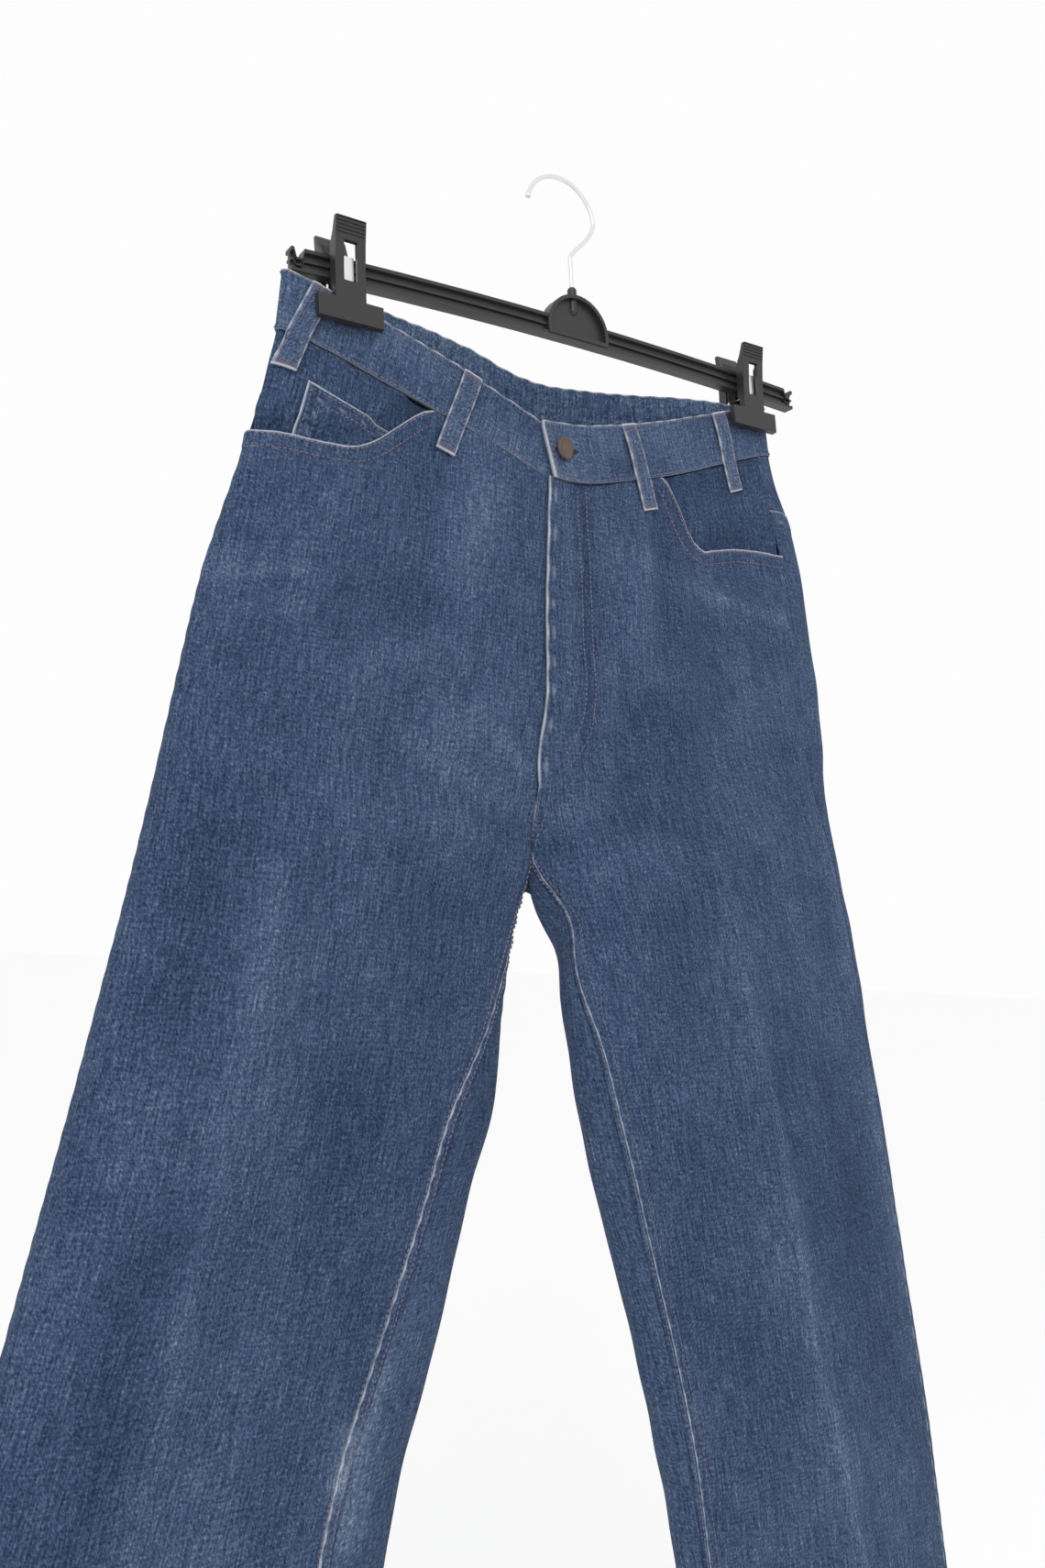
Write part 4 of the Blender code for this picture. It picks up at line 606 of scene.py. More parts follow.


# Relief of the cloth. Creases are soft troughs and ridges listed for
# each panel; seams have a felled ridge beside them and pucker along it.
CREASES = {
    # x and z of both ends, half width, height
    (-1, "front"): [
        (-0.222, -0.311, -0.130, -0.303, 0.009, 0.0013), (-0.214, -0.297, -0.150, -0.289, 0.007, -0.0010),
        (-0.190, -0.345, -0.063, -0.292, 0.013, -0.0014), (-0.150, -0.365, -0.050, -0.322, 0.010, 0.0010),
        (-0.112, -0.395, -0.020, -0.430, 0.011, -0.0016), (-0.088, -0.366, -0.018, -0.418, 0.009, 0.0014),
        (-0.036, -0.398, -0.012, -0.440, 0.006, -0.0014), (-0.070, -0.440, -0.014, -0.452, 0.008, 0.0011),
        (-0.110, -0.470, -0.030, -0.490, 0.012, -0.0012), (-0.092, -0.205, -0.104, -0.330, 0.014, -0.0016),
        (-0.060, -0.200, -0.072, -0.315, 0.012, 0.0014), (-0.174, -0.470, -0.198, -0.640, 0.014, 0.0014),
        (-0.198, -0.640, -0.236, -0.880, 0.013, 0.0013), (-0.236, -0.880, -0.262, -1.180, 0.014, 0.0012),
        (-0.120, -0.560, -0.160, -0.780, 0.018, -0.0018), (-0.160, -0.760, -0.075, -0.795, 0.010, 0.0012),
        (-0.170, -0.800, -0.090, -0.840, 0.012, -0.0013), (-0.230, -0.740, -0.160, -0.725, 0.012, -0.0010),
        (-0.190, -0.900, -0.180, -1.200, 0.020, -0.0016), (-0.245, -0.950, -0.150, -0.990, 0.016, -0.0009),
    ],
    (1, "front"): [
        (0.084, -0.190, 0.083, -0.300, 0.011, -0.0020), (0.066, -0.205, 0.064, -0.330, 0.010, 0.0016),
        (0.100, -0.262, 0.200, -0.266, 0.008, 0.0012), (0.112, -0.284, 0.212, -0.284, 0.008, -0.0011),
        (0.060, -0.330, 0.190, -0.318, 0.012, 0.0010), (-0.004, -0.442, 0.090, -0.392, 0.010, -0.0015),
        (0.004, -0.420, 0.070, -0.372, 0.009, 0.0012), (0.000, -0.462, 0.075, -0.440, 0.009, 0.0012),
        (0.010, -0.490, 0.110, -0.480, 0.013, -0.0013), (0.108, -0.440, 0.146, -0.615, 0.007, 0.0017),
        (0.146, -0.615, 0.172, -0.742, 0.006, 0.0018), (0.172, -0.742, 0.222, -0.890, 0.006, 0.0017),
        (0.222, -0.890, 0.262, -1.190, 0.009, 0.0015), (0.140, -0.560, 0.186, -0.700, 0.012, -0.0015),
        (0.070, -0.600, 0.130, -0.800, 0.018, -0.0016), (0.125, -0.690, 0.205, -0.672, 0.010, 0.0010),
        (0.110, -0.720, 0.200, -0.752, 0.012, -0.0013), (0.185, -0.800, 0.290, -0.820, 0.014, 0.0010),
        (0.180, -0.930, 0.200, -1.210, 0.020, -0.0016), (0.215, -0.980, 0.320, -1.000, 0.016, -0.0009),
    ],
    (-1, "back"): [
        (-0.200, -0.300, -0.060, -0.330, 0.014, -0.0012), (-0.090, -0.440, -0.015, -0.470, 0.010, 0.0014),
        (-0.150, -0.450, -0.030, -0.495, 0.013, -0.0018), (-0.190, -0.490, -0.060, -0.520, 0.013, 0.0014),
        (-0.220, -0.520, -0.090, -0.560, 0.015, -0.0014), (-0.150, -0.600, -0.190, -0.780, 0.018, 0.0016),
        (-0.240, -0.740, -0.120, -0.770, 0.012, 0.0015), (-0.250, -0.780, -0.120, -0.800, 0.012, -0.0017),
        (-0.260, -0.820, -0.140, -0.850, 0.014, 0.0012), (-0.200, -0.880, -0.225, -1.200, 0.020, 0.0016),
        (-0.262, -0.950, -0.275, -1.180, 0.014, -0.0012),
    ],
    (1, "back"): [
        (0.060, -0.310, 0.190, -0.300, 0.014, -0.0012), (0.010, -0.462, 0.090, -0.440, 0.010, 0.0014),
        (0.020, -0.495, 0.150, -0.455, 0.013, -0.0018), (0.060, -0.525, 0.190, -0.500, 0.013, 0.0013),
        (0.090, -0.560, 0.230, -0.540, 0.015, -0.0014), (0.140, -0.600, 0.190, -0.790, 0.018, 0.0016),
        (0.130, -0.760, 0.260, -0.730, 0.012, 0.0015), (0.140, -0.800, 0.270, -0.775, 0.012, -0.0016),
        (0.160, -0.850, 0.280, -0.830, 0.014, 0.0011), (0.200, -0.880, 0.232, -1.200, 0.020, 0.0016),
        (0.285, -0.930, 0.300, -1.180, 0.014, -0.0012),
    ],
}
WAVES = [
    # across per m, along per m, phase, height
    (31.0, 7.0, 0.3, 0.00034),
    (-17.0, 12.0, 1.9, 0.00034),
    (9.0, 21.0, 4.1, 0.00026),
    (44.0, -10.0, 2.7, 0.00020),
    (-26.0, 33.0, 5.2, 0.00018),
    (13.0, -46.0, 0.9, 0.00016),
]


def segment_bell(x, z, x0, z0, x1, z1, half):
    """1 on a straight crease, falling off beside it and towards both its ends."""
    dx = x1 - x0
    dz = z1 - z0
    t = ((x - x0) * dx + (z - z0) * dz) / (dx * dx + dz * dz)
    off = np.hypot(x - x0 - t * dx, z - z0 - t * dz)
    return bell(off, 0.0, half) * ease(np.minimum(t, 1.0 - t) / 0.22 + 0.5)


def cloth_width(side, z):
    rows = leg_table(side)
    inner = np.minimum(smooth_table(z, rows, 2), 0.2)
    return (smooth_table(z, rows, 1) - inner) * 1.03


def pucker(length, wave, phase):
    return np.sin(2.0 * np.pi * length / wave + phase + 1.6 * np.sin(length * 41.0 + phase))


def ropes(length, wave, phase):
    return 0.5 + 0.5 * pucker(length, wave, phase)


def relief(side, face, u, row, point):
    """Height of the cloth over its plain form, in metres."""
    x = point[..., 0]
    z = point[..., 2]
    wide = cloth_width(side, z)
    s_in = np.maximum(u, 0.0) * wide
    s_out = (1.0 - np.minimum(u, 1.0)) * wide
    keep = ease(np.minimum(s_in, s_out) / 0.022)
    high = np.zeros_like(x)
    for x0, z0, x1, z1, half, tall in CREASES[(side, face)]:
        high = high + tall * segment_bell(x, z, x0, z0, x1, z1, half)
    across = x + (0.0 if face == "front" else 0.37)
    for a, b, phase, tall in WAVES:
        high = high + tall * np.sin(2.0 * np.pi * (a * across * 0.5 + b * z * 0.5) + phase + side)
    high = high * keep
    legs = np.clip((row - 0.985) / 0.015, 0.0, 1.0)
    rope = pucker(z, 0.0115, 0.4 + side)
    ridge = bell(s_in, 0.0042, 0.0036)
    tall = 0.00075 if face == "front" else 0.00030
    high = high + legs * ridge * tall * (1.0 + 0.42 * rope)
    high = high - legs * 0.00035 * bell(s_in, 0.0, 0.0011)
    high = high + legs * 0.00022 * rope * bell(s_in, 0.010, 0.006)
    side_rope = pucker(z, 0.0130, 2.1 + side)
    ridge = bell(s_out, 0.0052, 0.0042)
    high = high + ridge * 0.00030 * (1.0 + 0.5 * side_rope)
    high = high - 0.00030 * bell(s_out, 0.0, 0.0010)
    hips = 1.0 - legs
    if face == "back" or side > 0:
        rise = pucker(z, 0.0120, 1.2)
        share = hips if face == "back" else np.clip((row - 0.80) / 0.03, 0.0, 1.0) * hips
        tall = 0.00060 if side > 0 else 0.00010
        high = high + share * tall * bell(s_in, 0.0046, 0.0038) * (1.0 + 0.35 * rise)
    hem = np.clip((HEM_Z + HEM_DEPTH - z) / 0.002, 0.0, 1.0)
    around = pucker(x + 0.35 * z, 0.0125, 0.8)
    high = high + hem * 0.00070 + 0.00034 * around * np.exp(-((z - HEM_Z - 0.011) / 0.006) ** 2)
    return high


def on_cloth(side, face, u, row, lift=0.0):
    """A point of the finished cloth and its outward normal."""
    base = surface(side, face, u, row)
    n = out_normal(side, face, u, row)
    return base + n * (relief(side, face, u, row, base) + lift)[..., None], n


# Fading and wear, placed after the photo: streaks at the hips, the
# pressed lines down the legs, the knees and the seat. Entries of negative strength are painted shade:
# darker strips towards the legs' outer sides, broad dark patches on the thighs and a dark line beside the
# fly.
FADES_AND_SHADES = {
    # x and z of both ends, half width, strength
    (-1, "front"): [
        (-0.226, -0.322, -0.165, -0.303, 0.0050, 0.08), (-0.215, -0.302, -0.150, -0.290, 0.0040, 0.06),
        (-0.206, -0.336, -0.120, -0.318, 0.006, 0.07), (-0.190, -0.288, -0.100, -0.276, 0.008, 0.05),
        (-0.112, -0.388, -0.022, -0.424, 0.008, 0.12), (-0.060, -0.365, -0.018, -0.402, 0.006, 0.13),
        (-0.174, -0.480, -0.198, -0.635, 0.0032, 0.08), (-0.198, -0.635, -0.236, -0.880, 0.0032, 0.07),
        (-0.236, -0.880, -0.264, -1.210, 0.0032, 0.07), (-0.150, -0.480, -0.175, -0.640, 0.040, 0.02),
        (-0.190, -0.660, -0.150, -0.840, 0.045, 0.03), (-0.112, -0.745, -0.098, -0.800, 0.014, 0.24),
        (-0.120, -0.770, -0.070, -0.795, 0.009, 0.26), (-0.100, -0.330, -0.090, -0.440, 0.050, 0.06),
        (-0.060, -0.220, -0.080, -0.300, 0.030, 0.07), (-0.200, -0.420, -0.215, -0.560, 0.020, -0.10),
        (-0.225, -0.640, -0.262, -0.880, 0.018, -0.10), (-0.100, -0.560, -0.120, -0.700, 0.030, -0.03),
    ],
    (1, "front"): [
        (0.110, -0.262, 0.208, -0.268, 0.005, 0.09), (0.120, -0.276, 0.210, -0.280, 0.004, 0.05),
        (0.060, -0.250, 0.110, -0.262, 0.012, 0.08), (0.000, -0.430, 0.080, -0.396, 0.008, 0.09),
        (0.108, -0.470, 0.146, -0.615, 0.0032, 0.08), (0.146, -0.615, 0.172, -0.742, 0.0032, 0.12),
        (0.172, -0.742, 0.222, -0.890, 0.0032, 0.12), (0.222, -0.890, 0.262, -1.200, 0.0032, 0.09),
        (0.096, -0.480, 0.120, -0.640, 0.030, 0.04), (0.125, -0.640, 0.180, -0.850, 0.035, 0.04),
        (0.225, -0.330, 0.232, -0.520, 0.014, 0.14), (0.245, -0.560, 0.290, -0.780, 0.012, 0.12),
        (0.060, -0.340, 0.060, -0.430, 0.040, -0.07), (0.190, -0.560, 0.240, -0.760, 0.018, -0.09),
        (0.150, -0.330, 0.150, -0.430, 0.040, 0.05), (0.036, -0.220, 0.038, -0.400, 0.008, 0.05),
        (0.016, -0.205, 0.022, -0.370, 0.005, -0.12), (0.003, -0.220, 0.005, -0.360, 0.004, 0.07),
    ],
    (-1, "back"): [
        (-0.190, -0.400, -0.030, -0.450, 0.030, 0.12), (-0.150, -0.640, -0.200, -0.860, 0.050, 0.08),
        (-0.120, -0.480, -0.040, -0.500, 0.008, 0.14), (-0.220, -0.560, -0.240, -0.760, 0.016, -0.08),
        (-0.098, -0.700, -0.110, -0.810, 0.014, 0.22),
    ],
    (1, "back"): [
        (0.030, -0.450, 0.190, -0.400, 0.030, 0.12), (0.130, -0.640, 0.200, -0.860, 0.050, 0.08),
        (0.040, -0.500, 0.120, -0.478, 0.008, 0.14), (0.220, -0.560, 0.262, -0.760, 0.016, -0.08),
    ],
}


def fading_and_shade(side, face, u, row, point):
    x = point[..., 0]
    z = point[..., 2]
    fade = np.zeros_like(x)
    for x0, z0, x1, z1, half, strength in FADES_AND_SHADES[(side, face)]:
        fade = fade + strength * segment_bell(x, z, x0, z0, x1, z1, half)
    # Colour follows the relief: lighter on raised cloth, partly wear and partly painted light, and darker in
    # creases and seam troughs as painted shade.
    high = relief(side, face, u, row, point)
    return fade + np.clip(high * 30.0, -0.06, 0.06)


def seam_wear(side, face, u, row, point):
    """White wear on the ropes beside the seams, the hem and the cut edges."""
    z = point[..., 2]
    wide = cloth_width(side, z)
    s_in = np.abs(u) * wide
    s_out = (1.0 - np.minimum(u, 1.0)) * wide
    legs = (row > 0.995) * 1.0
    rope = ropes(z, 0.0115, 0.4 + side)
    patchy = 0.5 + 0.5 * np.sin(z * 23.0 + side) * np.sin(z * 57.0 + 1.0)
    wear = legs * bell(s_in, 0.0008, 0.0008) * 0.22 * rope * patchy
    if face == "front":
        wear = wear + legs * bell(s_in, 0.0076, 0.0008) * (0.34 + 0.30 * rope + 0.18 * patchy)
    side_rope = ropes(z, 0.0130, 2.1 + side)
    low = np.clip((-0.52 - z) / 0.20, 0.15, 1.0)
    wear = wear + bell(s_out, 0.0006, 0.0010) * (0.20 + 0.35 * side_rope) * low
    around = ropes(point[..., 0] + 0.35 * z, 0.0125, 0.8)
    wear = wear + np.exp(-((z - HEM_Z) / 0.0016) ** 2) * 0.8
    wear = wear + np.exp(-((z - HEM_Z - 0.011) / 0.004) ** 2) * 0.35 * around
    return np.clip(wear, 0.0, 1.0)


# Cloth meshes. Each cut piece is a thin closed shell between two point
# grids, with the cloth's own coordinates, fade with painted shade, and wear on its points.
def shell(name, outer, inner, cloth, wear, fade, mat, node):
    """A closed sheet between an outer and an inner grid, shown for a node."""
    nu, nv = outer.shape[:2]
    half = nu * nv
    index = np.arange(half).reshape(nu, nv)
    cells = np.stack([index[:-1, :-1], index[1:, :-1], index[1:, 1:], index[:-1, 1:]], -1).reshape(-1, 4)
    faces = [cells, cells[:, ::-1] + half]
    for a, b in ((index[0, 1:], index[0, :-1]), (index[-1, :-1], index[-1, 1:]),
                 (index[:-1, 0], index[1:, 0]), (index[1:, -1], index[:-1, -1])):
        faces.append(np.stack([b, a, a + half, b + half], -1))
    faces = np.concatenate(faces)
    points = np.concatenate([outer.reshape(-1, 3), inner.reshape(-1, 3)])
    mesh = bpy.data.meshes.new(name)
    mesh.vertices.add(len(points))
    mesh.vertices.foreach_set("co", points.astype(np.float32).ravel())
    mesh.loops.add(faces.size)
    mesh.loops.foreach_set("vertex_index", faces.astype(np.int32).ravel())
    mesh.polygons.add(len(faces))
    mesh.polygons.foreach_set("loop_start", (np.arange(len(faces)) * 4).astype(np.int32))
    mesh.update(calc_edges=True)
    mesh.validate()
    mesh.polygons.foreach_set("use_smooth", np.ones(len(mesh.polygons), bool))
    # The fade attribute holds fade together with painted shade.
    for key, kind, value in (("wear", "FLOAT", wear), ("fade", "FLOAT", fade)):
        value = np.broadcast_to(value, (nu, nv)).ravel()
        slot = mesh.attributes.new(key, kind, "POINT")
        slot.data.foreach_set("value", np.concatenate([value, value]).astype(np.float32))
    flat = np.concatenate([cloth, np.zeros((nu, nv, 1))], -1).reshape(-1, 3)
    slot = mesh.attributes.new("cloth", "FLOAT_VECTOR", "POINT")
    slot.data.foreach_set("vector", np.concatenate([flat, flat + 0.5]).astype(np.float32).ravel())
    mesh.materials.append(mat)
    obj = bpy.data.objects.new(name, mesh)
    bpy.context.scene.collection.objects.link(obj)
    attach(obj, "root")
    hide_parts(node)
    return obj


def grid_normals(grid, like):
    n = np.cross(np.gradient(grid, axis=0), np.gradient(grid, axis=1))
    n /= np.maximum(np.linalg.norm(n, axis=-1, keepdims=True), 1e-12)
    n *= np.sign((n * like).sum(-1, keepdims=True).mean())
    return n


def along_line(at, reach, values):
    """Three-part values of a line, read at distances along it."""
    return np.stack([np.interp(at, reach, values[:, k]) for k in range(3)], -1)


def reach_of(line):
    """Distance of each point of a line from its start, along the line."""
    return np.concatenate([[0.0], np.cumsum(np.linalg.norm(np.diff(line, axis=0), axis=1))])


def cloth_grid(grid):
    """The cloth's own coordinates: metres across and along, from the grid's own lengths."""
    across = np.linalg.norm(np.diff(grid, axis=0), axis=-1).mean(axis=1)
    along = np.linalg.norm(np.diff(grid, axis=1), axis=-1).mean(axis=0)
    a = np.concatenate([[0.0], np.cumsum(across)])
    b = -np.concatenate([[0.0], np.cumsum(along)])
    return np.stack(np.broadcast_arrays(a[:, None] + grid[0, 0, 0] * 3.0, b[None, :]), -1)


# The warp runs along the middle of each leg. Columns: z, x at the right leg
# (away from the wearer's middle), x at the left leg.
WARP_LINE = np.array([
    (-0.150, 0.104, 0.085), (-0.350, 0.118, 0.098), (-0.500, 0.131, 0.122), (-0.650, 0.154, 0.153),
    (-0.778, 0.1815, 0.184), (-0.900, 0.1995, 0.210), (-1.000, 0.209, 0.2254), (-1.240, 0.2155, 0.236),
])


def straight_grain(grid, side):
    """Cloth coordinates of a long panel: metres from its warp line, and along z."""
    across = np.linalg.norm(np.diff(grid, axis=0), axis=-1)
    reach = np.concatenate([np.zeros((1, grid.shape[1])), np.cumsum(across, axis=0)])
    middle = grid[grid.shape[0] // 2, :, 2]
    line = smooth_table(middle, WARP_LINE, 1 if side < 0 else 2)
    for j in range(grid.shape[1]):
        reach[:, j] -= np.interp(line[j], side * grid[:, j, 0], reach[:, j])
    return np.stack([reach + grid[0, 0, 0] * 3.0, grid[..., 2] * 1.01], -1)


def edge_distance(grid, line, rows):
    """Distance of a grid's first rows from a line of points."""
    far = np.full(grid.shape[:2], 1.0)
    for j in range(min(rows, grid.shape[1])):
        d = grid[:, j][:, None, :] - line[None, :, :]
        far[:, j] = np.sqrt((d * d).sum(-1)).min(axis=1)
    return far


SIDES = ((-1, "right"), (1, "left"))
EDGE = np.array([0.0, 0.004, 0.008, 0.0125, 0.018, 0.024, 0.0285, 0.0315, 0.0345, 0.039, 0.046, 0.055])
PANEL_U = np.concatenate([EDGE, np.linspace(0.070, 0.930, 48), 1.0 - EDGE[::-1]])
LEG_ROWS = np.concatenate([np.linspace(1.0, 1.978, 296)[1:], np.linspace(1.980, 2.0, 9)])

# Front panels, cut away along the pocket mouths. The wearer's left front
# runs on under a raised edge as the fly's overlap.
FLY_OVERLAP = 0.014
MOUTH_FOLD = 0.0075
MOUTH_CURL = {-1: 0.6, 1: 1.0}


def mouth_curl(side, off):
    """Outward curl of a pocket mouth's edge, at a distance from it."""
    return 0.0016 * bell(off, 0.0, 0.006) * MOUTH_CURL[side]


for side, word in SIDES:
    u = PANEL_U
    seam_x = surface(side, "front", u, np.zeros_like(u))[:, 0]
    drop = mouth_drop(side, seam_x)
    top = row_of_drop(side, "front", u, drop)
    hips = np.linspace(0.0, 1.0, 118) ** 1.06
    rows = np.concatenate([top[:, None] + (1.0 - top[:, None]) * hips[None, :],
                           np.repeat(LEG_ROWS[None, :], len(u), axis=0)], axis=1)
    uu = np.repeat(u[:, None], rows.shape[1], axis=1)
    if side > 0:
        fly = ease((0.86 - rows) / 0.10) * FLY_OVERLAP
        uu = uu - fly * np.clip(1.0 - uu / 0.05, 0.0, 1.0)
    point = surface(side, "front", uu, rows)
    high = relief(side, "front", uu, rows, point)
    n = out_normal(side, "front", np.maximum(uu, 0.0), rows)
    mouth_line = point[drop > 0.0005, 0]
    off = edge_distance(point, mouth_line, 18)
    folded = plateau(off, MOUTH_FOLD, 0.0014) * (off < 0.5)
    high = high + 0.00060 * folded * (1.0 + 0.25 * pucker(point[..., 0], 0.0120, 0.2))
    high = high + mouth_curl(side, off)
    wear = seam_wear(side, "front", uu, rows, point)
    rope = ropes(point[..., 0], 0.0120, 0.2)
    wear = np.maximum(wear, bell(off, 0.0, 0.0011) * 0.80)
    wear = np.maximum(wear, bell(off, 0.0092, 0.0012) * 0.30 * rope)
    if side > 0:
        s_in = (uu + fly) * cloth_width(side, point[..., 2])
        over = ease((0.87 - rows) / 0.04)
        high = high + over * (0.0019 * ease((0.020 - s_in) / 0.014) + 0.0005 * ease((0.0040 - s_in) / 0.002))
        twist = ropes(point[..., 2], 0.021, 0.6)
        high = high + over * 0.0006 * twist * bell(s_in, 0.0, 0.005)
        wear = np.maximum(wear, over * bell(s_in, 0.0, 0.0012) * (0.60 + 0.30 * twist))
        wear = np.maximum(wear, over * bell(s_in, 0.0050, 0.0018) * 0.36 * twist)
        fork = bell(s_in, 0.0, 0.0016) * ease((rows - 0.86) / 0.03) * (rows < 1.0)
        wear = np.maximum(wear, 0.55 * fork)
    outer = point + n * high[..., None]
    inner = outer - grid_normals(outer, n) * CLOTH
    panel = shell(f"front_{word}_cloth", outer, inner, straight_grain(point, side), wear,
                  fading_and_shade(side, "front", uu, rows, point), denim, f"front_{word}")

# Yokes and back panels, from one surface parted at the yoke seam, which has
# a felled ridge on the panel below it.
def yoke_low(side, u):
    """Row share of the yoke seam, deeper at the middle than at the outseam."""
    return row_of_drop(side, "back", u, 0.072 - 0.034 * u)


for side, word in SIDES:
    u = PANEL_U
    low = yoke_low(side, u)
    yoke_rows = np.linspace(0.0, 1.0, 30)[None, :] * low[:, None]
    hips = np.linspace(0.0, 1.0, 104)
    hip_rows = low[:, None] + (1.0 - low[:, None]) * hips[None, :]
    leg = np.repeat(LEG_ROWS[None, :], len(u), axis=0)
    for kind, rows in (("yoke", yoke_rows), ("back", np.concatenate([hip_rows, leg], axis=1))):
        uu = np.repeat(u[:, None], rows.shape[1], axis=1)
        point = surface(side, "back", uu, rows)
        high = relief(side, "back", uu, rows, point)
        n = out_normal(side, "back", uu, rows)
        wear = seam_wear(side, "back", uu, rows, point)
        if kind == "back":
            off = edge_distance(point, point[:, 0], 10)
            rope = pucker(point[..., 0], 0.0125, 1.0)
            high = high + 0.0006 * plateau(off, 0.0075, 0.0014) * (1.0 + 0.3 * rope)
            wear = np.maximum(wear, bell(off, 0.0, 0.0013) * 0.5)
            wear = np.maximum(wear, bell(off, 0.008, 0.0026) * 0.3 * (0.5 + 0.5 * rope))
        outer = point + n * high[..., None]
        inner = outer - grid_normals(outer, n) * CLOTH
        panel = shell(f"{kind}_{word}_cloth", outer, inner, straight_grain(point, side), wear,
                      fading_and_shade(side, "back", uu, rows, point), denim, f"{kind}_{word}")

# Pocket facings. They fill the panel's layer over the mouth and sink behind
# the front panel from just above it; the coin pocket lies on the right one.
SINK = {-1: 0.0039, 1: 0.0023}
TUCK = {-1: 0.030, 1: 0.010}


def facing_sink(side, u, drop):
    seam_x = surface(side, "front", u, np.zeros_like(u))[..., 0]
    start = mouth_drop(side, seam_x - side * 0.005) - 0.014
    near = 1.0 - 0.45 * ease((u - 0.78) / 0.14)
    return SINK[side] * near * ease((drop - start) / 0.010)


for side, word in SIDES:
    first = (MOUTH_RIGHT if side < 0 else MOUTH_LEFT)[0, 0] - 0.010
    u_first, _ = locate(side, "front", CENTRE_X + side * first, -0.21)
    u = np.concatenate([np.linspace(float(u_first), 0.80, 34), np.linspace(0.81, 1.0, 14)])
    seam_x = surface(side, "front", u, np.zeros_like(u))[:, 0]
    reach = np.maximum(mouth_drop(side, seam_x), 0.012)
    t = np.concatenate([np.linspace(0.0, 1.0, 30), [1.08, 1.16, 1.24, 1.32]])
    drop = 0.0005 + (reach[:, None] - 0.0005) * np.minimum(t, 1.0)[None, :]
    drop = drop + 0.024 * np.maximum(t - 1.0, 0.0)[None, :] / 0.32
    reach_u = 1.0 - TUCK[side] * ease((t - 0.72) / 0.22)
    share = (u - u[0]) / (u[-1] - u[0])
    uu = u[0] + (reach_u[None, :] - u[0]) * share[:, None]
    rows = row_of_drop(side, "front", uu, drop)
    base = surface(side, "front", uu, rows)
    n = out_normal(side, "front", uu, rows)
    high = 0.00025 * pucker(base[..., 0] + 0.4 * base[..., 2], 0.019, 1.0)
    outer = base + n * (high - facing_sink(side, uu, drop))[..., None]
    streak = 0.05 * np.exp(-((base[..., 2] - base[:, :1, 2] + 0.030) / 0.015) ** 2)
    # The facing takes the darker copy of the denim, painted shade inside the pocket.
    piece = shell(f"pocket_facing_{word}_cloth", outer, outer - n * FACING_WALL, cloth_grid(base),
                  0.18 * bell(drop, 0.0, 0.004), streak + (0.03 if side < 0 else 0.0),
                  denim_painted_shade, f"pocket_facing_{word}")

COIN_TOP = ((-0.1700, 0.0590), (-0.1965, -0.0170))
COIN_LOW = ((-0.1815, 0.0710), (-0.2500, 0.0180))
s = np.linspace(0.0, 1.0, 40)[:, None]
t = np.linspace(0.0, 1.0, 34)[None, :]
x, z = [(a + b * s) * (1.0 - t) + (c + d * s) * t for (a, b), (c, d) in zip(COIN_TOP, COIN_LOW)]
u, row = locate(-1, "front", x, z)
base = surface(-1, "front", u, row)
n = out_normal(-1, "front", u, row)
drop = surface(-1, "front", u, np.zeros_like(u))[..., 2] - z
edge = np.minimum(np.minimum(s * 0.06, (1.0 - s) * 0.06), t * 0.05)
high = 0.0018 + 0.0005 * plateau(edge, 0.007, 0.0012) - facing_sink(-1, u, drop)
rope = ropes(x + z, 0.011, 0.3)
wear = np.maximum(bell(edge, 0.0, 0.0011) * 0.85, bell(edge, 0.0078, 0.0022) * 0.30 * rope)
coin_outer = base + n * high[..., None]
piece = shell("coin_pocket_cloth", coin_outer, coin_outer - n * COIN_WALL, cloth_grid(base), wear,
              -0.05 + 0.0 * x, denim, "coin_pocket")
coin_normal = n

# Back pockets, plain five-sided patches on the back panels.
POCKET_TOP = 0.150
POCKET_LOW = 0.128
POCKET_TALL = 0.146
POCKET_POINT = 0.022
back_pockets = {}
for side, word in SIDES:
    s = np.linspace(-0.5, 0.5, 61)[:, None]
    t = np.concatenate([
        np.linspace(0.0, 0.08, 8), np.linspace(0.10, 0.90, 34), np.linspace(0.92, 1.0, 8)])[None, :]
    middle = CENTRE_X + side * (0.104 + 0.006 * t)
    x = middle + s * (POCKET_TOP * (1.0 - t) + POCKET_LOW * t)
    z = -0.256 + side * 0.006 + 0.010 * side * s - (POCKET_TALL + POCKET_POINT * (1.0 - 2.0 * np.abs(s))) * t
    u, row = locate(side, "back", x, z)
    edge = np.minimum(np.minimum((s + 0.5), (0.5 - s)) * 0.14, (1.0 - t) * 0.16)
    top_edge = t * 0.155
    high = 0.0005 * plateau(edge, 0.0075, 0.0013)
    high = high + 0.0006 * plateau(top_edge, 0.011, 0.0013)
    outer, n = on_cloth(side, "back", u, row, 0.0026)
    outer = outer + n * high[..., None]
    rope = ropes(x + z, 0.0115, 0.7)
    wear = np.maximum(np.exp(-(np.minimum(edge, top_edge) / 0.0012) ** 2) * 0.80,
                      bell(edge, 0.0080, 0.0024) * 0.32 * rope)
    fade = 0.05 + 0.07 * np.exp(-((s * 0.14) / 0.05) ** 2 - ((t - 0.5) / 0.35) ** 2)
    piece = shell(f"back_pocket_{word}_cloth", outer, outer - n * PATCH_WALL, cloth_grid(outer), wear,
                  fade, denim, f"back_pocket_{word}")
    back_pockets[side] = (outer, n, edge, top_edge)
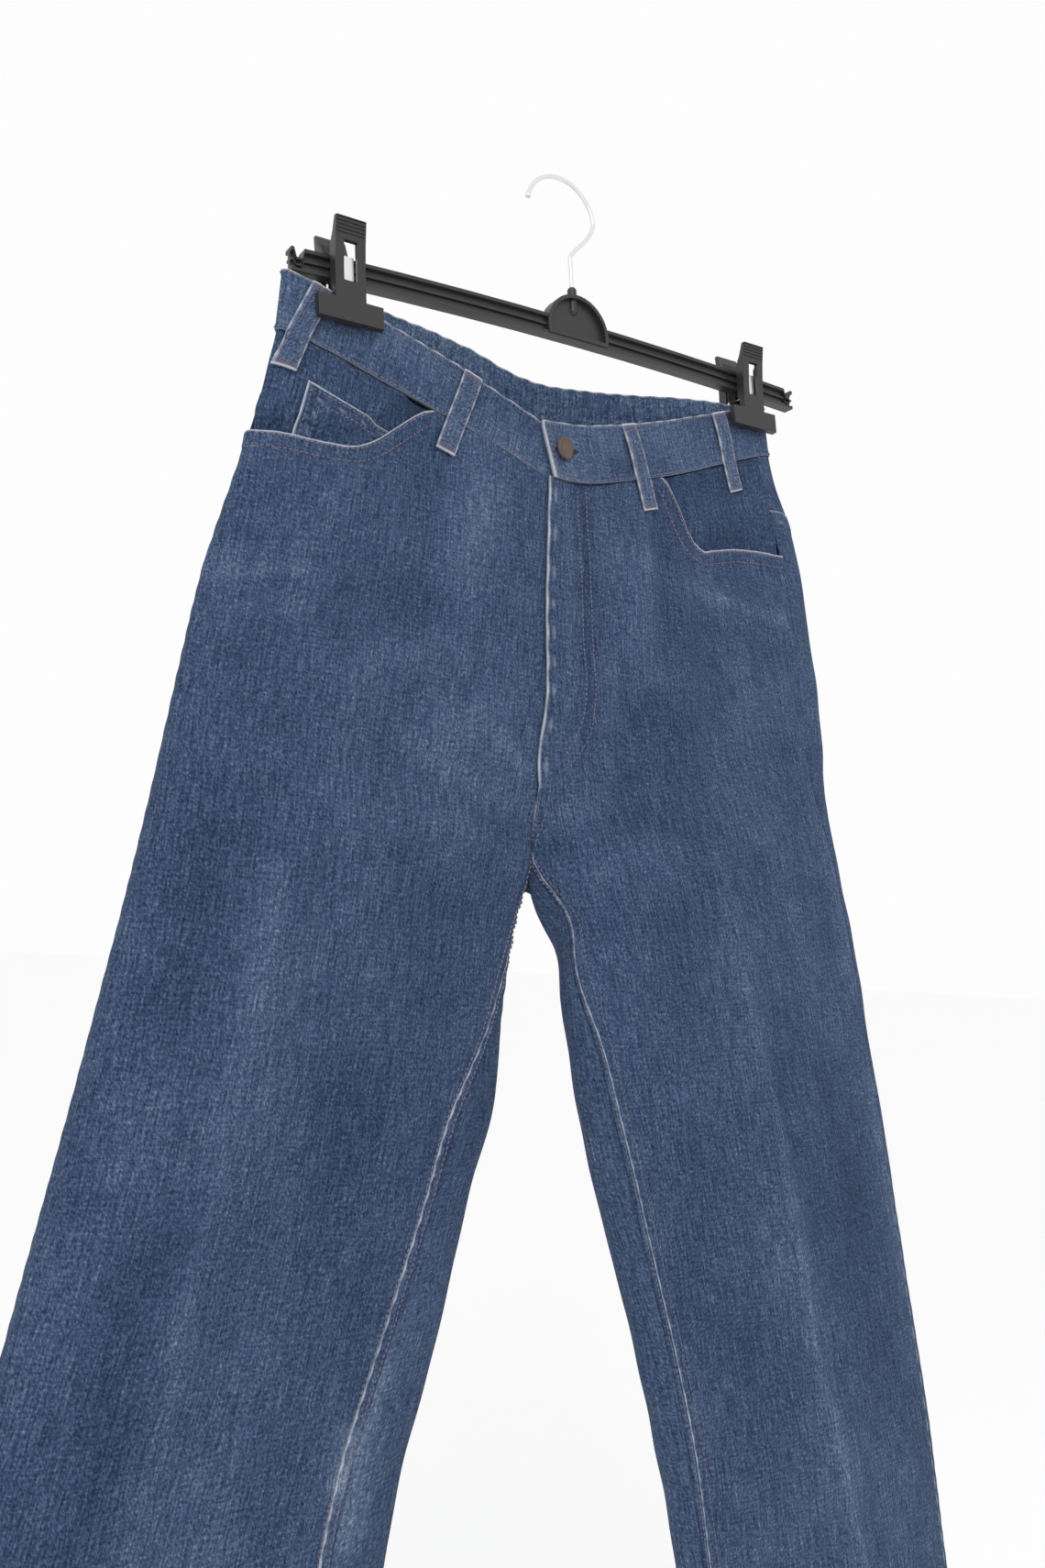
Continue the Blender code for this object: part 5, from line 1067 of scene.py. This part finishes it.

# Fly: the zip's tape and the shield, behind the overlapping edge, in the darker copy of the denim as painted
# shade.
FLY_TOP = -0.2135
FLY_LONG = 0.1810
TAPE_WIDE = 0.026
t = np.linspace(0.0, 1.0, 46)[None, :]
s = np.linspace(0.0, 1.0, 10)[:, None]
z = FLY_TOP - FLY_LONG * t
fly_edge = smooth_table(z, RISE_FRONT, 1, 3)
x = fly_edge + 0.0030 + s * TAPE_WIDE
u, row = locate(1, "front", x, z + 0.010 * t + 0.0 * s)
n = out_normal(1, "front", u, row)
outer = surface(1, "front", u, row) - n * 0.0020
piece = shell("zip_tape_cloth", outer, outer - n * PATCH_WALL, cloth_grid(outer), 0.0, 0.0 * x,
              denim_painted_shade, "zip_tape")
s = np.concatenate([np.linspace(-0.0085, 0.0006, 8), np.linspace(0.0035, 0.0390, 14)])[:, None]
x = fly_edge + s
z_here = np.broadcast_to(z + 0.006 * t, x.shape)
outer = np.empty(x.shape + (3,))
n = np.empty_like(outer)
for side, chosen in ((-1, s[:, 0] < 0.0), (1, s[:, 0] >= 0.0)):
    u, row = locate(side, "front", x[chosen], z_here[chosen])
    outer[chosen] = surface(side, "front", u, row)
    n[chosen] = out_normal(side, "front", u, row)
outer = outer - n * (0.0021 + 0.0029 * ease((s + 0.0060) / 0.0064))[..., None]
piece = shell("fly_shield_cloth", outer, outer - n * FACING_WALL, cloth_grid(outer), 0.0, 0.0 * x,
              denim_painted_shade, "fly_shield")

# Waistband: one long strip from its underlap end round the back to the
# overlap end, rolled and worn white along its top edge and its ends.
BAND_HEIGHTS = np.concatenate([
    np.linspace(0.0, 0.12, 7), np.linspace(0.18, 0.82, 14), np.linspace(0.88, 1.0, 7)])
BAND_MIDDLE = 14


def stations(half, a, b):
    return [(half, v) for v in np.linspace(a, b, int(abs(b - a) / 0.0018))]


band_line = (
    stations("fr", 0.0240, -0.1840)
    + [("fr", -0.1868), ("fr", -0.1881), ("ba", -0.1885), ("ba", -0.1881), ("ba", -0.1868)]
    + stations("ba", -0.1840, 0.1865)
    + [("ba", 0.1908), ("ba", 0.1926), ("ba", 0.1930), ("fl", 0.1926), ("fl", 0.1908)]
    + stations("fl", 0.1865, -0.0075))
grid = np.array([band_base(half, np.full(len(BAND_HEIGHTS), v), BAND_HEIGHTS) for half, v in band_line])
like = grid - grid.mean(axis=(0, 1))
band_n = grid_normals(grid, like)
run = reach_of(grid[:, BAND_MIDDLE])[:, None]
tall = BAND_TALL * BAND_HEIGHTS[None, :]
down = BAND_TALL - tall
ends = np.minimum(run, run[-1] - run)
border = np.minimum(np.minimum(tall, down), ends)
rope = ropes(run, 0.0135, 0.6)
high = 0.00035 * plateau(border, 0.0020, 0.0012) * (0.6 + 0.8 * rope)
high = high + 0.0005 * bell(down, 0.0, 0.0022) * (0.5 + rope)
high = high + 0.00035 * np.sin(run * 120.0 + tall * 90.0) * np.sin(run * 43.0)
wear = np.maximum(bell(down, 0.0, 0.0010) * (0.40 + 0.40 * rope), bell(tall, 0.0, 0.0007) * 0.34)
wear = np.maximum(wear, bell(ends, 0.0, 0.0013) * 0.9)
wear = np.maximum(wear, bell(border, 0.0044, 0.0018) * 0.20 * rope)
fade = 0.06 * np.sin(run * 31.0) * np.sin(tall * 110.0 + 1.0) + 0.04 + 0.10 * bell(ends, 0.0, 0.03)
band_outer = grid + band_n * (BAND_PROUD + high)[..., None]
band = shell("waistband_cloth", band_outer, band_outer - band_n * BAND_WALL,
             np.stack(np.broadcast_arrays(run, tall), -1), wear, fade, denim_band, "waistband")

# Belt loops, each sewn at the band's top edge and below the waist seam.
LOOPS = {
    "belt_loop_1": ("fr", -0.1690, -0.1775, -0.1840, -0.1930),
    "belt_loop_2": ("fr", -0.0755, -0.0770, -0.0840, -0.2160),
    "belt_loop_3": ("fl", 0.0650, 0.0655, 0.0725, -0.2130),
    "belt_loop_4": ("fl", 0.1490, 0.1490, 0.1560, -0.1760),
    "belt_loop_5": ("ba", 0.0900, 0.0900, 0.0905, -0.1800),
    "belt_loop_6": ("ba", -0.0090, -0.0090, -0.0090, -0.1950),
    "belt_loop_7": ("ba", -0.1050, -0.1050, -0.1052, -0.1920),
}
loop_grids = []
for name, (half, seam_top, seam_low, end_x, end_z) in LOOPS.items():
    side = -1 if end_x < CENTRE_X else 1
    face = "back" if half == "ba" else "front"
    _, _, along = band_frame(half, seam_low, 0.0)
    across = np.linspace(-0.5, 0.5, 13)
    lines = []
    outs = []
    for k in across:
        line = []
        for t in np.linspace(1.0, 0.0, 25):
            v = seam_top * t + seam_low * (1.0 - t) + k * LOOP_WIDTH * along[0]
            p, out, _ = band_frame(half, v, t)
            bow = 0.0004 + 0.0010 * math.sin(math.pi * min(1.0, (1.0 - t) * 1.1))
            line.append((p + out * bow, out))
        start = line[-1][0]
        t = np.linspace(0.04, 1.0, 18)
        x = start[0] * (1.0 - t) + (end_x + k * LOOP_WIDTH * along[0]) * t
        z = start[2] * (1.0 - t) + (end_z + k * LOOP_WIDTH * along[2]) * t
        beside = side
        if abs(end_x - CENTRE_X) < 0.001:
            beside = -1 if x[-1] < CENTRE_X else 1
            x = x + 0.0002 * beside
        u, row = locate(beside, face, x, z)
        out = out_normal(beside, face, u, row)
        if abs(end_x - CENTRE_X) < 0.001:
            out[:, 0] *= 0.2
            out /= np.linalg.norm(out, axis=1, keepdims=True)
        p = surface(beside, face, u, row) + out * (0.0014 * (1.0 - t) + 0.0009 * t)[:, None]
        lines.append(np.concatenate([[a for a, b in line], p]))
        outs.append(np.concatenate([[b for a, b in line], out]))
    inner = np.array(lines)
    n = np.array(outs)
    far = 0.5 - np.abs(across)[:, None]
    length = np.linspace(0.0, 1.0, inner.shape[1])[None, :]
    rope = ropes(length * 0.06, 0.0105, seam_top * 60.0)
    puff = 0.0003 * np.exp(-((far * LOOP_WIDTH - 0.0036) / 0.0012) ** 2) * (0.4 + rope)
    roll = -0.0004 * np.exp(-(far * LOOP_WIDTH / 0.0008) ** 2)
    outer = inner + n * (LOOP_WALL + 0.0002 + puff + roll)[..., None]
    wear = np.maximum(np.exp(-(far * LOOP_WIDTH / 0.0010) ** 2) * (0.45 + 0.40 * rope),
                      np.exp(-(np.minimum(length, 1.0 - length) * 0.06 / 0.0014) ** 2))
    piece = shell(f"{name}_cloth", outer, inner, cloth_grid(outer), wear, 0.10 + 0.0 * length,
                  denim_band, name)
    loop_grids.append((outer, n))


# Stitches. Each is a small thread lozenge lying along its row; rows follow
# the seams, the pocket mouths, the fly, the band, the loops and the hems.
def drawn(name, points, faces, mat, smooth):
    """A mesh object of the scene that rides on the part."""
    mesh = bpy.data.meshes.new(name)
    mesh.from_pydata(points, [], faces)
    mesh.polygons.foreach_set("use_smooth", np.full(len(mesh.polygons), smooth))
    mesh.materials.append(mat)
    obj = bpy.data.objects.new(name, mesh)
    bpy.context.scene.collection.objects.link(obj)
    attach(obj, "root")
    return obj


LOZENGE = np.array([
    (0, 1, 3), (0, 3, 2), (1, 5, 4), (1, 4, 3), (2, 3, 4), (2, 4, 6),
    (4, 5, 7), (4, 7, 6), (0, 2, 1), (1, 2, 6), (1, 6, 5), (5, 6, 7),
])


def stitches(name, rows, mat, step=0.0031, long=0.0026, wide=0.00080, tall=0.00060):
    verts = []
    faces = []
    base = 0
    for line, normal in rows:
        reach = reach_of(line)
        count = int(reach[-1] / step)
        if count < 1:
            continue
        at = (np.arange(count) + 0.5) * (reach[-1] / count)
        p = along_line(at, reach, line)
        n = along_line(at, reach, normal)
        ahead = along_line(at + 0.0008, reach, line) - along_line(at - 0.0008, reach, line)
        way = ahead / np.maximum(np.linalg.norm(ahead, axis=1, keepdims=True), 1e-9)
        n /= np.linalg.norm(n, axis=1, keepdims=True)
        across = np.cross(n, way)
        h = 0.5 * long
        w = 0.5 * wide
        low = p - n * 0.0003
        ring_points = [low - way * h, low - way * h * 0.6 - across * w, low - way * h * 0.6 + across * w,
                       p + n * tall - way * h * 0.55, p + n * tall + way * h * 0.55,
                       low + way * h * 0.6 - across * w, low + way * h * 0.6 + across * w, low + way * h]
        verts.append(np.stack(ring_points, 1).reshape(-1, 3))
        k = base + 8 * np.arange(count)[:, None]
        faces.append((k[:, :, None] + LOZENGE[None]).reshape(-1, 3))
        base += 8 * count
    return drawn(name, np.concatenate(verts).tolist(), np.concatenate(faces).tolist(), mat, True)


def beside(side, face, rows, at, distance):
    """u at a distance in metres from a panel's edge (0 the inseam, 1 the outseam)."""
    edge = np.full(len(rows), float(at))
    inward = 1.0 - 2.0 * at
    step = surface(side, face, edge + inward * 0.002, rows) - surface(side, face, edge, rows)
    return at + inward * distance * 0.002 / np.linalg.norm(step, axis=1)


def point_line(side, face, points):
    """A line through a few points given by x and z."""
    points = np.array(points)
    reach = reach_of(points)
    at = np.linspace(0.0, reach[-1], max(int(reach[-1] / 0.002), 4))
    x = np.interp(at, reach, points[:, 0])
    z = np.interp(at, reach, points[:, 1])
    if len(at) > 20:
        soft = np.ones(9) / 9.0
        x[4:-4] = np.convolve(x, soft, "valid")
        z[4:-4] = np.convolve(z, soft, "valid")
    u, row = locate(side, face, x, z)
    return on_cloth(side, face, u, row)


STITCH_ROWS = {"inseam": (0.0022, 0.0080), "mouth": (0.0018, 0.0088), "yoke": (0.0016, 0.0080),
               "seat": (0.0020, 0.0078), "rise": (0.0020, 0.0076)}
HEM_STITCH = 0.012
for side, word in SIDES:
    hem = np.full(120, 2.0 - HEM_STITCH / (CROTCH_Z - HEM_Z))
    rows = np.linspace(1.004, 1.978, 420)
    seams = [on_cloth(side, "front", beside(side, "front", rows, 0, d), rows) for d in STITCH_ROWS["inseam"]]
    mouth_u = np.linspace(0.30, 0.999, 150)
    seam_x = surface(side, "front", mouth_u, np.zeros_like(mouth_u))[:, 0]
    opening = mouth_drop(side, seam_x)
    cut = opening > 0.0005
    line = surface(side, "front", mouth_u[cut], row_of_drop(side, "front", mouth_u[cut], opening[cut]))
    way = np.gradient(line, axis=0)
    way /= np.linalg.norm(way, axis=1, keepdims=True)
    inward = np.stack([-way[:, 2], 0.0 * way[:, 0], way[:, 0]], 1)
    inward *= -np.sign(inward[len(inward) // 2, 2])
    for d in STITCH_ROWS["mouth"]:
        spot = line + inward * d
        keep = np.abs(spot[:, 0]) < np.abs(line[-1, 0]) - 0.0006
        u, row = locate(side, "front", spot[keep, 0], spot[keep, 2])
        seams.append(on_cloth(side, "front", u, row, 0.0007 + mouth_curl(side, d)))
    u = np.linspace(0.02, 0.98, 120)
    seams.append(on_cloth(side, "front", u, hem))
    stitches(f"stitches_front_{word}", seams, thread)
    seams = [on_cloth(side, "back", u, hem)]
    low = yoke_low(side, u)
    for d in STITCH_ROWS["yoke"]:
        seams.append(on_cloth(side, "back", u, low + d / 0.27))
    if side > 0:
        rows = np.linspace(0.02, 0.93, 140)
        seams += [on_cloth(1, "back", beside(1, "back", rows, 0, d), rows) for d in STITCH_ROWS["seat"]]
    outer, n, edge, top_edge = back_pockets[side]
    last = outer.shape[1] - 1
    for inset in (1, 5):
        path = [(inset, j) for j in range(1, last)]
        path += [(i, last - (1 if inset == 1 else 3)) for i in range(inset, 61 - inset)]
        path += [(60 - inset, j) for j in range(last - 1, 0, -1)]
        seams.append((np.array([outer[i, j] for i, j in path]), np.array([n[i, j] for i, j in path])))
    seams.append((outer[1:-1, 7], n[1:-1, 7]))
    stitches(f"stitches_back_{word}", seams, thread)

# The J-shaped fly rows, the bar tack, the rise, the band, the loops and the
# coin pocket.
J_ROWS = [
    # x and z down each row, the outer one first
    [(0.0189, -0.2135), (0.0234, -0.3130), (0.0263, -0.3474),
     (0.0238, -0.3707), (0.0108, -0.3923), (-0.0110, -0.4030)],
    [(0.0118, -0.2150), (0.0163, -0.3143), (0.0192, -0.3485),
     (0.0172, -0.3660), (0.0057, -0.3873), (-0.0105, -0.4000)],
]
TACK_TOP = np.array([-0.0120, -0.3870])
TACK_LOW = np.array([-0.0050, -0.3985])
seams = [point_line(1, "front", points) for points in J_ROWS]
rows = np.linspace(0.86, 0.985, 30)
seams += [on_cloth(1, "front", beside(1, "front", rows, 0, d), rows) for d in STITCH_ROWS["rise"]]
stitches("stitches_fly", seams, thread)
tack = []
for k in np.linspace(0.0, 1.0, 15):
    middle = TACK_TOP * (1.0 - k) + TACK_LOW * k
    tack.append(point_line(1, "front", [middle + (-0.0030, -0.0012), middle + (0.0035, 0.0014)]))
stitches("fly_bar_tack", tack, thread_pale, 0.0016, 0.0022, 0.0007)

seams = [(band_outer[2:-2, j], band_n[2:-2, j]) for j in (2, 25)]
seams += [(band_outer[i, 1:-1], band_n[i, 1:-1]) for i in (2, 5, len(band_outer) - 3)]
stitches("stitches_band", seams, thread)

seams = []
tacks = []
for outer, n in loop_grids:
    seams += [(outer[i, 1:-1], n[i, 1:-1]) for i in (2, 10)]
    tacks += [(outer[1:-1, j], n[1:-1, j]) for j in (1, 2, 3, -4, -3, -2)]
stitches("stitches_loops", seams, thread)
stitches("loop_bar_tacks", tacks, thread, 0.0012, 0.0016, 0.0008)

seams = []
for inset in (2, 6):
    j = int(inset * 1.2)
    seams.append((coin_outer[inset:-inset, j], coin_normal[inset:-inset, j]))
    seams.append((coin_outer[inset, j:], coin_normal[inset, j:]))
stitches("stitches_coin_pocket", seams, thread)

# Buttonhole: a dark strip over the overlap end, painted shade standing in
# for the slot, with a border of thread.
HOLE_HALF = 0.0022
HOLE_THREAD = 0.0021
hole_at = [i for i, (half, v) in enumerate(band_line) if half == "fl" and -0.0030 < v < 0.0175]
hole_j = int(round(np.interp(0.50, BAND_HEIGHTS, np.arange(len(BAND_HEIGHTS)))))
spine = band_outer[hole_at, hole_j]
spine_n = band_n[hole_at, hole_j]
upward = band_outer[hole_at, hole_j + 1] - band_outer[hole_at, hole_j]
upward /= np.linalg.norm(upward, axis=1, keepdims=True)
share = np.linspace(0.0, 1.0, len(spine))[:, None]
lens = HOLE_HALF * np.sqrt(np.clip(1.0 - (2.0 * share - 1.0) ** 2, 0.0, 1.0)) + 0.0001
slot_grid = np.stack([spine - upward * lens, spine + upward * lens], 1) + spine_n[:, None] * 0.00025
count = len(spine)
drawn("buttonhole_slot_shade", slot_grid.reshape(-1, 3).tolist(),
      [(2 * i, 2 * i + 2, 2 * i + 3, 2 * i + 1) for i in range(count - 1)], dark, False)
border = []
for sign in (-1.0, 1.0):
    for f in np.linspace(0.0, 1.0, 46):
        i = f * (count - 1)
        p, n, up = [along_line(i, np.arange(count), values) for values in (spine, spine_n, upward)]
        reach = HOLE_HALF * math.sqrt(max(1.0 - (2.0 * f - 1.0) ** 2, 0.0))
        a = p + sign * up * reach + n * 0.0002
        b = p + sign * up * (reach + HOLE_THREAD) + n * 0.0002
        border.append((np.array([a, b]), np.array([n, n])))
stitches("buttonhole_thread", border, thread_pale, HOLE_THREAD, 0.0023, 0.0007, 0.0006)


# Hanger: the moulded bar and clips stay as they are, with softened edges;
# the levers get their finger ridges and the hook is a finer wire.
def hung(x, y, z):
    dx = x - HANGER_POINT[0]
    dz = z - HANGER_POINT[1]
    c = math.cos(HANGER_TILT)
    s = math.sin(HANGER_TILT)
    return (dx * c - dz * s, y, dx * s + dz * c)


def paint(name, mat):
    """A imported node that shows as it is, in a finish of its own."""
    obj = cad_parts[name]
    obj.data.materials.clear()
    obj.data.materials.append(mat)
    return obj


for name in ("hanger_bar", "clip_right_front", "clip_right_rear", "clip_left_front", "clip_left_rear"):
    soft = paint(name, black).modifiers.new("soft_edges", "BEVEL")
    soft.width = 0.00045
    soft.segments = 2
    soft.limit_method = "ANGLE"
    soft.angle_limit = math.radians(35.0)
for name in ("clip_right_spring", "clip_left_spring"):
    paint(name, steel)
paint("waist_button", brown)

RIDGE_TOP = 0.0282
RIDGE_STEP = 0.0021
RIDGE_HALF = 0.0090
for word, clip_x in (("right", CLIP_X[0]), ("left", CLIP_X[1])):
    for part, turn in (("front", 1.0), ("rear", -1.0)):
        verts = []
        faces = []
        for k in range(5):
            z = RIDGE_TOP - RIDGE_STEP * k
            y = -(0.0150 - 0.0014 * (0.0286 - z) / 0.0116)
            base = len(verts)
            profile = [(y + 0.0004, z + 0.0006), (y - 0.0006, z + 0.0003),
                       (y - 0.0006, z - 0.0003), (y + 0.0004, z - 0.0006)]
            for x in (clip_x - RIDGE_HALF, clip_x + RIDGE_HALF):
                verts += [hung(x, turn * a, b) for a, b in profile]
            faces += [(base, base + 1, base + 2, base + 3), (base + 7, base + 6, base + 5, base + 4)]
            for i in range(4):
                j = (i + 1) % 4
                faces.append((base + i, base + 4 + i, base + 4 + j, base + j))
        drawn(f"clip_{word}_{part}_ridges", verts, faces, black, False)

HOOK_RING = 0.0270
HOOK_MIDDLE = (-0.0066, 0.0847)
HOOK_WIRE = 0.0015
path = [(0.0, 0.0375), (-0.0001, 0.0450), (-0.0003, 0.0530), (-0.0003, 0.0580), (0.0010, 0.0610),
        (0.0040, 0.0645), (0.0090, 0.0695), (0.0140, 0.0750), (0.0178, 0.0805)]
for degrees in range(6, 172, 8):
    a = math.radians(min(degrees, 166))
    path.append((HOOK_MIDDLE[0] + HOOK_RING * math.cos(a), HOOK_MIDDLE[1] + HOOK_RING * math.sin(a)))
path = np.array([hung(x, 0.0, z) for x, z in path])
reach = reach_of(path)
knots = np.column_stack([reach, path])
at = np.linspace(0.0, reach[-1], 120)
path = np.stack([smooth_table(at, knots, k) for k in (1, 2, 3)], 1)
way = np.gradient(path, axis=0)
way /= np.linalg.norm(way, axis=1, keepdims=True)
across = np.cross(way, (0.0, 1.0, 0.0))
turn = np.linspace(0.0, 2.0 * np.pi, 20, endpoint=False)
radius = HOOK_WIRE * (1.0 + 0.35 * np.exp(-((reach[-1] - at) / 0.0016) ** 2)) * np.sqrt(
    np.clip((reach[-1] + 0.0010 - at) / 0.0014, 0.05, 1.0))
tube = (path[:, None] + radius[:, None, None] * (across[:, None] * np.cos(turn)[None, :, None]
        + np.array((0.0, 1.0, 0.0)) * np.sin(turn)[None, :, None]))
index = np.arange(tube.shape[0] * 20).reshape(-1, 20)
ahead = np.roll(index, -1, axis=1)
faces = np.stack([index[:-1], index[1:], ahead[1:], ahead[:-1]], -1).reshape(-1, 4).tolist()
faces += [index[0].tolist(), index[-1][::-1].tolist()]
hook = drawn("hook_wire", tube.reshape(-1, 3).tolist(), faces, steel, True)
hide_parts("hanger_hook")

# Stage: pale floor, white surroundings and soft light from the upper left.
bpy.ops.mesh.primitive_plane_add(size=FLOOR_SIZE, location=(0.0, 20.0, FLOOR_Z))
floor = bpy.context.active_object
floor.name = "floor"
floor.data.materials.append(plain_material("pale_floor", (0.97, 0.97, 0.97), 1.0))
floor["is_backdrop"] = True

scene = bpy.context.scene
world = bpy.data.worlds.new("white_surroundings")
scene.world = world
world.use_nodes = True
world.node_tree.nodes["Background"].inputs["Color"].default_value = (1.0, 1.0, 1.0, 1.0)
world.node_tree.nodes["Background"].inputs["Strength"].default_value = WORLD_STRENGTH
scene.view_settings.view_transform = "Standard"
key_data = bpy.data.lights.new("key_light", "AREA")
key_data.shape = "DISK"
key_data.size = KEY_SIZE
key_data.energy = KEY_POWER
key = bpy.data.objects.new("key_light", key_data)
key.location = KEY_AT
key.rotation_euler = (Vector(KEY_AIM) - Vector(KEY_AT)).to_track_quat("-Z", "Y").to_euler()
scene.collection.objects.link(key)

# Camera at the photo's view, a little below the band and to the left.
RIGHT = Vector((0.82397, -0.56496, 0.04355))
UP = Vector((-0.1172, -0.09472, 0.98858))
FORWARD = Vector((0.55438, 0.81966, 0.14426))
camera_data = bpy.data.cameras.new("photo_camera")
camera_data.lens = 28.0
camera_data.sensor_width = 36.0
camera = bpy.data.objects.new("photo_camera", camera_data)
camera.matrix_world = Matrix((
    (RIGHT.x, UP.x, -FORWARD.x, CAMERA_AT[0]),
    (RIGHT.y, UP.y, -FORWARD.y, CAMERA_AT[1]),
    (RIGHT.z, UP.z, -FORWARD.z, CAMERA_AT[2]),
    (0.0, 0.0, 0.0, 1.0)))
scene.collection.objects.link(camera)
scene.camera = camera

low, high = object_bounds()
